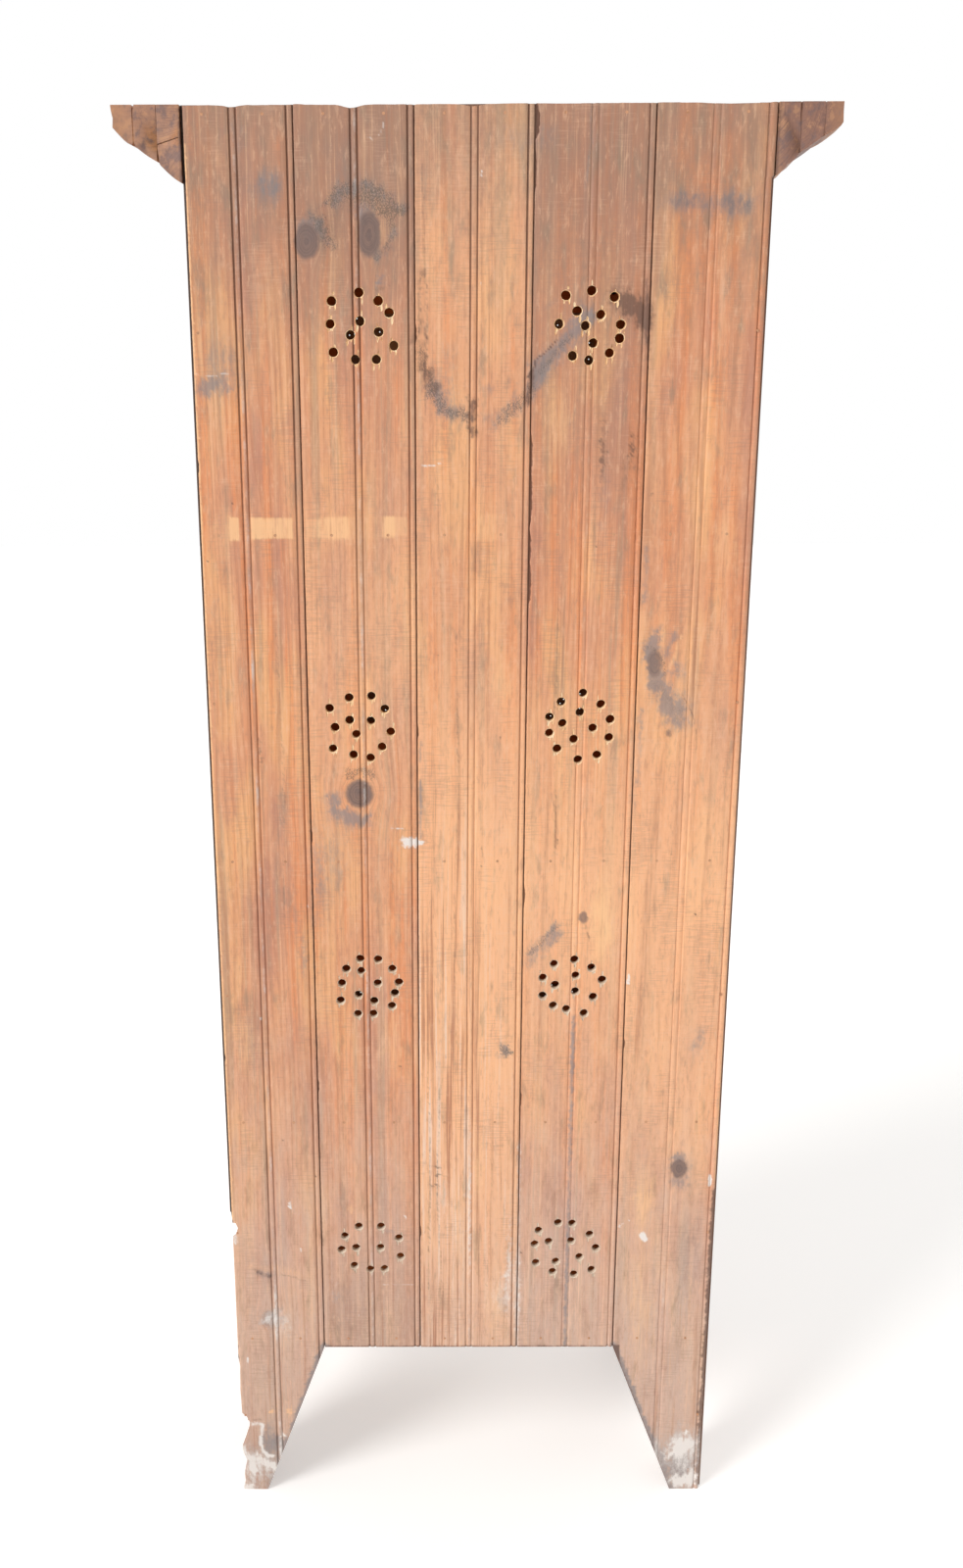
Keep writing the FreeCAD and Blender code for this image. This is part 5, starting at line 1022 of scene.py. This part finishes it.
old_tin = metal("dull_tinplate", "#A29E96", "#B0ACA4", "#8C877F", "#7A4E33", 14, 0.40, 0.62, struck=0.62)
hinge_iron = metal("rubbed_hinge_iron", "#5C534C", "#847A70", "#3A322D", "#5F3B28", 2.5, 0.42, 0.55)
nail_iron = metal("rusted_nail_iron", "#7E5E4A", "#9A755A", "#5A4234", "#7D553C", 0.8, 0.6, 0.46, 0.4)
stained_nails = metal("stained_nail_heads", "#CE9A76", "#D8A482", "#BE8C6A", "#B48260", 0.8, 0.6, 0.50, 0.1)
turned_wood = plain_finish(
    "turned_dark_hardwood", "#6E452B",
    (("streak", (1.6, 18, 1.6), 3, 0.6), ("glow", (9, 20, 9), 2, 0.5), ("turned", (40, 0.35, 40), 2, 0.5)),
    (("glow", 0.45, 0.68, 0.6, "#8A5A38"), ("streak", 0.50, 0.72, 0.7, "#3E2416"),
     ("turned", 0.52, 0.66, 0.35, "#4A2C1B")),
    {"Roughness": 0.32, "Coat Weight": 0.25, "Coat Roughness": 0.2}, ("turned", 0.2, 0.3))
print("metals:", old_tin.name, hinge_iron.name, nail_iron.name, "and", turned_wood.name)

# %% [markdown]
# ## Softened edges on sawn pieces
# No handmade board keeps a knife-sharp edge: hands, brooms and years round it. A Bevel modifier
# rounds every edge alike, also those of nail holes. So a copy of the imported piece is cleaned, and
# only its long sharp edges are rounded, with a lighter finish where the stain has rubbed off.

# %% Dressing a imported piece
PLACES = np.random.default_rng(11)      # one pith for each piece, in the order of dressing
RUBBED = 1                              # material index of a rubbed edge
LONG, SHARP = 9, 35                     # an edge is rounded from this many widths and degrees up


def dress(node, finish, width=1.0, body="case", shape=None, rubbed=rubbed_pine):
    """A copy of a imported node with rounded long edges, which stands for the node."""
    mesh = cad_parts[node].data.copy()
    mesh.name = f"{node}_worn"
    bm = bmesh.new()
    bm.from_mesh(mesh)
    bmesh.ops.remove_doubles(bm, verts=bm.verts, dist=0.02 * MM)
    bmesh.ops.dissolve_limit(bm, angle_limit=radians(1.0), verts=bm.verts, edges=bm.edges)
    if shape:
        shape(bm)
    long_edges = [e for e in bm.edges if e.is_manifold and e.calc_length() > LONG * width * MM
                  and e.calc_face_angle(0) > radians(SHARP) and e.is_convex]
    bmesh.ops.bevel(bm, geom=long_edges, offset=width * MM, segments=2, profile=0.6, affect="EDGES",
                    clamp_overlap=True, material=RUBBED)
    bmesh.ops.recalc_face_normals(bm, faces=bm.faces)
    bm.to_mesh(mesh)
    bm.free()
    mesh.materials.clear()
    made = link(mesh.name, mesh, finish, rubbed)
    smoothed(mesh, 30)
    low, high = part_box(node)
    away = PLACES.uniform((-1, 0.6, -1), (1, 1.5, 1)) * (60, 90, 60)
    pith = (np.array(low) + np.array(high)) / 2 / MM + away
    store(mesh, "pith", np.tile(pith, len(mesh.vertices)), "FLOAT_VECTOR", "vector")
    return stands_for(made, node, body)


SUNK = 4        # mm


def sunk_top(bm):
    """The top board sits a little lower than the boards that hide its back edge."""
    for v in bm.verts:
        if v.co.z > (TOP - 1) * MM:
            v.co.z -= SUNK * MM


dress("top_board", case_level, shape=sunk_top)
planks = {side: dress(f"side_plank_{side}", finish)
          for side, finish in (("left", case_shaded_edge_brown), ("right", case_upright))}
for node, finish in (("frame_stile_left", case_upright), ("frame_stile_right", case_upright),
                     ("frame_top_rail", case_level), ("frame_apron", case_level)):
    dress(node, finish, width=1.4)
dress("door_stop", case_upright)
for node in ("bottom_board", "shelf_upper", "shelf_middle", "shelf_low"):
    dress(node, inside_level, width=0.9)
dress("shelf_cleats", inside_deep, width=0.8)

# %% Cornice and door frame
wings = {"left": [], "right": []}
for layer in ("inner", "middle", "outer"):
    dress(f"cornice_front_{layer}", cornice_level, width=0.9)
    for side, pieces in wings.items():
        pieces.append(dress(f"cornice_{side}_{layer}", cornice_deep, width=0.9))
for node, finish, width in (
        *((f"door_stile_{side}", door_upright, 1.3) for side in wings),
        *((f"door_rail_{number}", door_level, 1.3) for number in range(1, 6)),
        *((f"tin_strips_{number}", door_upright, 0.7) for number in range(1, 5))):
    dress(node, finish, width=width, body="door")
dress("turn_button", turned_wood, width=1.2, body="button", rubbed=turned_wood)
print("cornice layers, door frame and turn button dressed")

# %% [markdown]
# ## Worn ends of the cornice
# The ends of the moulding stick out at the back and were knocked at every move: corners are
# rubbed off, layers have opened and one end is a little thinner. Leaning prisms pare the ends
# down to a ragged line that fades out along the moulding, and thin wedges open the cracks.

# %% Pared and cracked ends
PARED = {   # the line that is left of an end, its reach in y, and how far it leans at the inner end
    "left": ((
        (-398.5, 1836), (-398.3, 1822), (-398.8, 1809), (-396.5, 1805.5), (-388, 1800), (-375, 1793),
        (-364, 1785), (-352, 1777.5), (-350, 1774), (-346, 1769.5), (-340, 1766), (-335, 1759.5),
        (-329, 1755.5), (-325, 1753), (-325, 1735), (-415, 1735), (-415, 1836)), (104, 236), (-9, -10)),
    "right": ((
        (403.6, 1836), (402.4, 1824), (400.8, 1816), (401.6, 1807), (395, 1800.4), (383.6, 1788.8),
        (380, 1786.4), (376.5, 1787.2), (367, 1779.6), (357, 1771.8), (352, 1769.6), (341, 1759),
        (329.8, 1749), (325, 1745), (325, 1735), (415, 1735), (415, 1836)), (170, 236), (5, -5))}
CRACKS = {   # thin wedges: the y that each starts from, and its outline
    "left": ((226, ((-353.0, 1832), (-351.4, 1832), (-352.0, 1800))),
             (212, ((-377, 1834), (-381, 1834), (-379.4, 1826))),
             (218, ((-353.4, 1770), (-350.8, 1770), (-353.0, 1783)))),
    "right": ((222, ((351.6, 1766), (355.4, 1766), (353.9, 1789))),
              (214, ((376.6, 1834), (381.4, 1834), (379.3, 1822))),
              (229, ((353.6, 1788.6), (353.6, 1789.9), (330, 1796.8), (330, 1796.1))),
              (230, ((379.0, 1824), (379.7, 1824), (379.4, 1800))),
              (229, ((353.3, 1832), (354.1, 1832), (353.8, 1806))),
              (222, ((385, 1784), (377, 1784), (379.3, 1792))))}
for side, pieces in wings.items():
    outline, reach, lean = PARED[side]
    cutters = [prism(f"pared_{side}", outline, reach, cornice_deep, lean=lean)]
    cutters += [prism(f"crack_{side}", wedge, (start, 240), cornice_deep) for start, wedge in CRACKS[side]]
    for piece in pieces:
        smoothed(cut_away(piece, cutters).data, 30)
    for cutter in cutters:
        bpy.data.objects.remove(cutter)
    print(side, "end pared, with", len(CRACKS[side]), "cracks")

# %% [markdown]
# ## The broken foot goes on into the side plank
# The flake that split off the foot took some of the side plank with it. The same cutter is used
# on the plank, so that the two broken places meet.

# %% Broken plank
smoothed(cut_away(planks["right"], (foot_break, edge_bite, lost_splinter)).data, 30)
print("side plank now has", len(planks["right"].data.polygons), "faces")

# %% [markdown]
# ## Punched tins
# The tins let air in and keep flies out. A tinsmith laid a paper pattern on the sheet and struck
# an awl or a small chisel through it, which left a sharp raised lip on the far side. Bump or
# transparency could fake that, but the holes must let light through. So a node tree strikes one
# tool per mark through a thin sheet, and sets a raised lip round every hole.

# %% Pattern of one tin
SHEET = (178.0, -147.0, 0.8)        # half width, front face and thickness of a tin, mm
OPENINGS = ((376, 618), (706, 948), (1036, 1278), (1366, 1608))     # z of the four openings, mm
DIAMOND, FAN = 130, (160, 110)      # x of a diamond's middle, and x and z of a fan's corner
BORDER = (164, 115)                 # x and z of the dots round the sheet


def ring_of(count, radius, long=1.0, start=0.0, centre=(0, 0)):
    """Marks (x, z, turn, length) evenly round a circle; long ones point to its centre."""
    angles = [start + 2 * pi * k / count for k in range(count)]
    return [(centre[0] + radius * cos(a), centre[1] + radius * sin(a), a, long) for a in angles]


def tin_pattern():
    """A star of chisel cuts in rings of dots, a diamond at each side, quarter fans and a border."""
    made = [(0, 0, 0, 1)] + ring_of(8, 12) + ring_of(8, 30, 8.0) + ring_of(8, 24, start=pi / 8)
    made += ring_of(24, 47) + ring_of(16, 70, 8.0) + ring_of(16, 61, start=pi / 16) + ring_of(40, 88)
    for side in (-1, 1):
        made += [(side * DIAMOND + spot * 7.5, row * 11, 0, 1) for row in range(-4, 5)
                 for spot in range(-4 + abs(row), 5 - abs(row)) if abs(row) + abs(spot) in (4, 3, 0)]
        made += ring_of(4, 5, 3.0, centre=(side * DIAMOND, 0))
        for end in (-1, 1):
            for radius, count in ((16, 3), (28, 5), (40, 7)):
                angles = [(k + 0.5) / count * pi / 2 for k in range(count)]
                made += [(side * (FAN[0] - radius * cos(a)), end * (FAN[1] - radius * sin(a)), 0, 1)
                         for a in angles]
    made += [(x, end * BORDER[1], 0, 1) for end in (-1, 1) for x in np.linspace(-164, 164, 32)]
    made += [(side * BORDER[0], z, 0, 1) for side in (-1, 1) for z in np.linspace(-104, 104, 20)]
    return made


PATTERN = tin_pattern()
print(len(PATTERN), "marks on a tin,", len([m for m in PATTERN if m[3] > 1]), "of them chisel cuts")

# %% A node tree that punches
punching, given = tree_with("tin_punching", {
    "Marks": ("Object", None), "Awl radius": ("Float", 0.85 * MM), "Lip height": ("Float", 0.5 * MM),
    "Metal": ("Material", None)})
spots = add(punching, "GeometryNodeObjectInfo", {"Object": given["Marks"]}, out=4)
turn, long = (add(punching, "GeometryNodeInputNamedAttribute", {"Name": name}, data_type="FLOAT")
              for name in ("turn", "long"))
euler = add(punching, "CombineXYZ", {"Y": add(punching, "Math", (turn, -1.0), operation="MULTIPLY")})


def on_marks(shape, length):
    """Stands a shape on every mark, turned as the mark says and drawn out to its length."""
    upright = add(punching, "GeometryNodeTransform", {"Geometry": shape, "Rotation": (pi / 2, 0, 0)})
    return add(punching, "GeometryNodeInstanceOnPoints", {
        "Points": spots, "Instance": upright, "Rotation": euler,
        "Scale": add(punching, "CombineXYZ", (length, 1.0, 1.0))})


awl = add(punching, "GeometryNodeMeshCylinder",
          {"Vertices": 8, "Radius": given["Awl radius"], "Depth": 3 * MM})
sheet = add(punching, "GeometryNodeMeshBoolean",
            {"Mesh 1": given["Geometry"], "Mesh 2": [on_marks(awl, long)]},
            operation="DIFFERENCE", solver="MANIFOLD")
circle = add(punching, "GeometryNodeCurvePrimitiveCircle", {"Resolution": 8, "Radius": 1.3 * MM})
wedge = add(punching, "GeometryNodeCurvePrimitiveCircle", {"Resolution": 3, "Radius": given["Lip height"]})
lip = add(punching, "GeometryNodeCurveToMesh", {"Curve": circle, "Profile Curve": wedge})
stretch = add(punching, "Math", (long, 0.67, 0.33), operation="MULTIPLY_ADD")
whole = add(punching, "GeometryNodeJoinGeometry", ([sheet, on_marks(lip, stretch)],))
close_tree(punching, whole, given["Metal"])
print("tree", punching.name, "has", len(punching.nodes), "nodes")

# %% Four tins
COLUMNS, ROWS = 61, 45      # points across and up a tin
CALM = 30                   # mm from the strips over which the buckles fade out


def tin_sheet(name, low, high):
    """A thin sheet with a grid of points on its faces, buckled a little by hand and hammer."""
    half, face, thick = SHEET
    xs, zs = np.linspace(-half, half, COLUMNS), np.linspace(low - 6, high + 6, ROWS)
    gx, gz = np.meshgrid(xs, zs)
    calm = np.clip((half - 12 - abs(gx)) / CALM, 0, 1)
    calm = calm * np.clip((np.minimum(gz - low, high - gz) - 4) / CALM, 0, 1)
    buckle = 0.5 * calm * (1 + uneven(gx + 0.7 * gz, 130, int(low)) + uneven(gz - gx, 61, int(low) + 1)) / 2
    front = np.stack((gx, face - buckle, gz), -1).reshape(-1, 3)
    count = COLUMNS * ROWS
    ids = np.arange(count).reshape(gx.shape)
    quads = np.stack((ids[:-1, :-1], ids[:-1, 1:], ids[1:, 1:], ids[1:, :-1]), -1).reshape(-1, 4)
    rim = np.concatenate((ids[0], ids[1:, -1], ids[-1, -2::-1], ids[-2:0:-1, 0]))
    side = np.stack((rim, rim + count, np.roll(rim, -1) + count, np.roll(rim, -1)), -1)
    faces = quads.tolist() + (quads[:, ::-1] + count).tolist() + side.tolist()
    points = np.concatenate((front, front + (0, thick, 0)))
    return link(name, closed(plotted(name, points, faces)), old_tin), buckle, xs, zs


for number, (low, high) in enumerate(OPENINGS, 1):
    tin, buckle, xs, zs = tin_sheet(f"tin_{number}_punched", low, high)
    hand = np.random.default_rng(60 + number)
    spots = []
    for x, z, *_ in PATTERN:
        x, z = x + hand.normal(0, 0.35), z + (low + high) / 2 + hand.normal(0, 0.35)
        lift = buckle[np.abs(zs - z).argmin(), np.abs(xs - x).argmin()]
        spots.append((x, SHEET[1] - lift, z))
    dots = link("tin_marks", plotted("tin_marks", spots))
    store(dots.data, "turn", [m[2] for m in PATTERN])
    store(dots.data, "long", [m[3] for m in PATTERN])
    worked(tin, punching, {"Marks": dots, "Metal": old_tin})
    bpy.data.objects.remove(dots)
    points = np.array([v.co for v in tin.data.vertices]) / MM
    away = points[:, None, ::2] - np.array(spots)[None, :, ::2]
    store(tin.data, "struck", np.exp(-(np.min(np.hypot(away[..., 0], away[..., 1]), 1) / 3.4) ** 2))
    smoothed(tin.data, 25)
    stands_for(tin, f"tin_{number}", "door")
    print(tin.name, len(tin.data.polygons), "faces")

# %% [markdown]
# ## A turned knob
# A knob is turned on a lathe from a small block: tenon, base, neck, head and a flat face. Turning a
# profile about an axis is the same act in Blender. The profile is a short list of radii, and the
# rows between are smooth curves, with two fine grooves where the turner steadied the chisel.

# %% Knob
KNOB_X, KNOB_Z, DOOR_FACE = 217.0, 1090.0, -156.5
KNOB = (   # radius, reach from the door's face
    (0.0, -19.5), (7.5, -19.5), (7.95, -19.0), (7.95, 0.0), (10.2, 0.0), (11.0, 0.8), (11.0, 3.2),
    (10.4, 4.0), (8.6, 4.3), (8.0, 4.9), (7.6, 6.0), (7.5, 8.5), (7.8, 10.5), (8.6, 12.6), (10.0, 14.6),
    (11.9, 16.5), (13.9, 18.2), (15.2, 19.4), (15.85, 20.8), (16.0, 22.0), (15.9, 23.4), (15.3, 24.9),
    (14.9, 25.2), (14.7, 25.9), (13.6, 27.6), (11.8, 29.3), (9.6, 30.7), (7.2, 31.6), (6.9, 31.35),
    (6.5, 31.7), (3.5, 31.95), (0.0, 32.0))
bm = bmesh.new()
line = [bm.verts.new(((KNOB_X + r) * MM, (DOOR_FACE - reach) * MM, KNOB_Z * MM)) for r, reach in KNOB]
edges = [bm.edges.new(pair) for pair in zip(line, line[1:])]
bmesh.ops.spin(bm, geom=line + edges, cent=(KNOB_X * MM, 0, KNOB_Z * MM), axis=(0, 1, 0), angle=2 * pi,
               steps=40, use_merge=True)
mesh = bpy.data.meshes.new("door_knob_turned")
bm.to_mesh(mesh)
bm.free()
knob = link(mesh.name, smoothed(closed(mesh), 50), turned_wood)
stands_for(knob, "door_knob", "door")
print("knob reaches", round(DOOR_FACE - min(v.co.y for v in mesh.vertices) / MM, 1), "mm")

# %% [markdown]
# ## Pegs, nails, brads and hinges
# These small pieces are iron and plain wood. They could be turned and forged anew like the knob,
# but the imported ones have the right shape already, so their mesh is kept as it is, and they only
# get their finish.

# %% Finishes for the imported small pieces
FINISHES = {
    door_upright: ("door_pegs",),
    stained_nails: ("back_nails",),
    nail_iron: ("frame_nails", "cornice_nails", "strip_brads"),
    hinge_iron: ("hinge_frame_leaf_upper", "hinge_frame_leaf_lower", "hinge_door_leaf_upper",
                 "hinge_door_leaf_lower", "hinge_pins", "hinge_frame_screws", "hinge_door_screws",
                 "turn_button_screw", "turn_button_washer")}
for finish, group in FINISHES.items():
    for node in group:
        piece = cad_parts[node]
        piece.data.materials.clear()
        piece.data.materials.append(finish)
    print(finish.name, "on", len(group), "pieces")

# %% [markdown]
# ## Clearing the bench
# Drills, saws and marks were only tools. They are removed, so that nothing but the cupboard and
# the floor is left.

# %% Finish
for tool in (foot_saw, foot_break, edge_bite, lost_splinter, *marks_on.values()):
    bpy.data.objects.remove(tool)
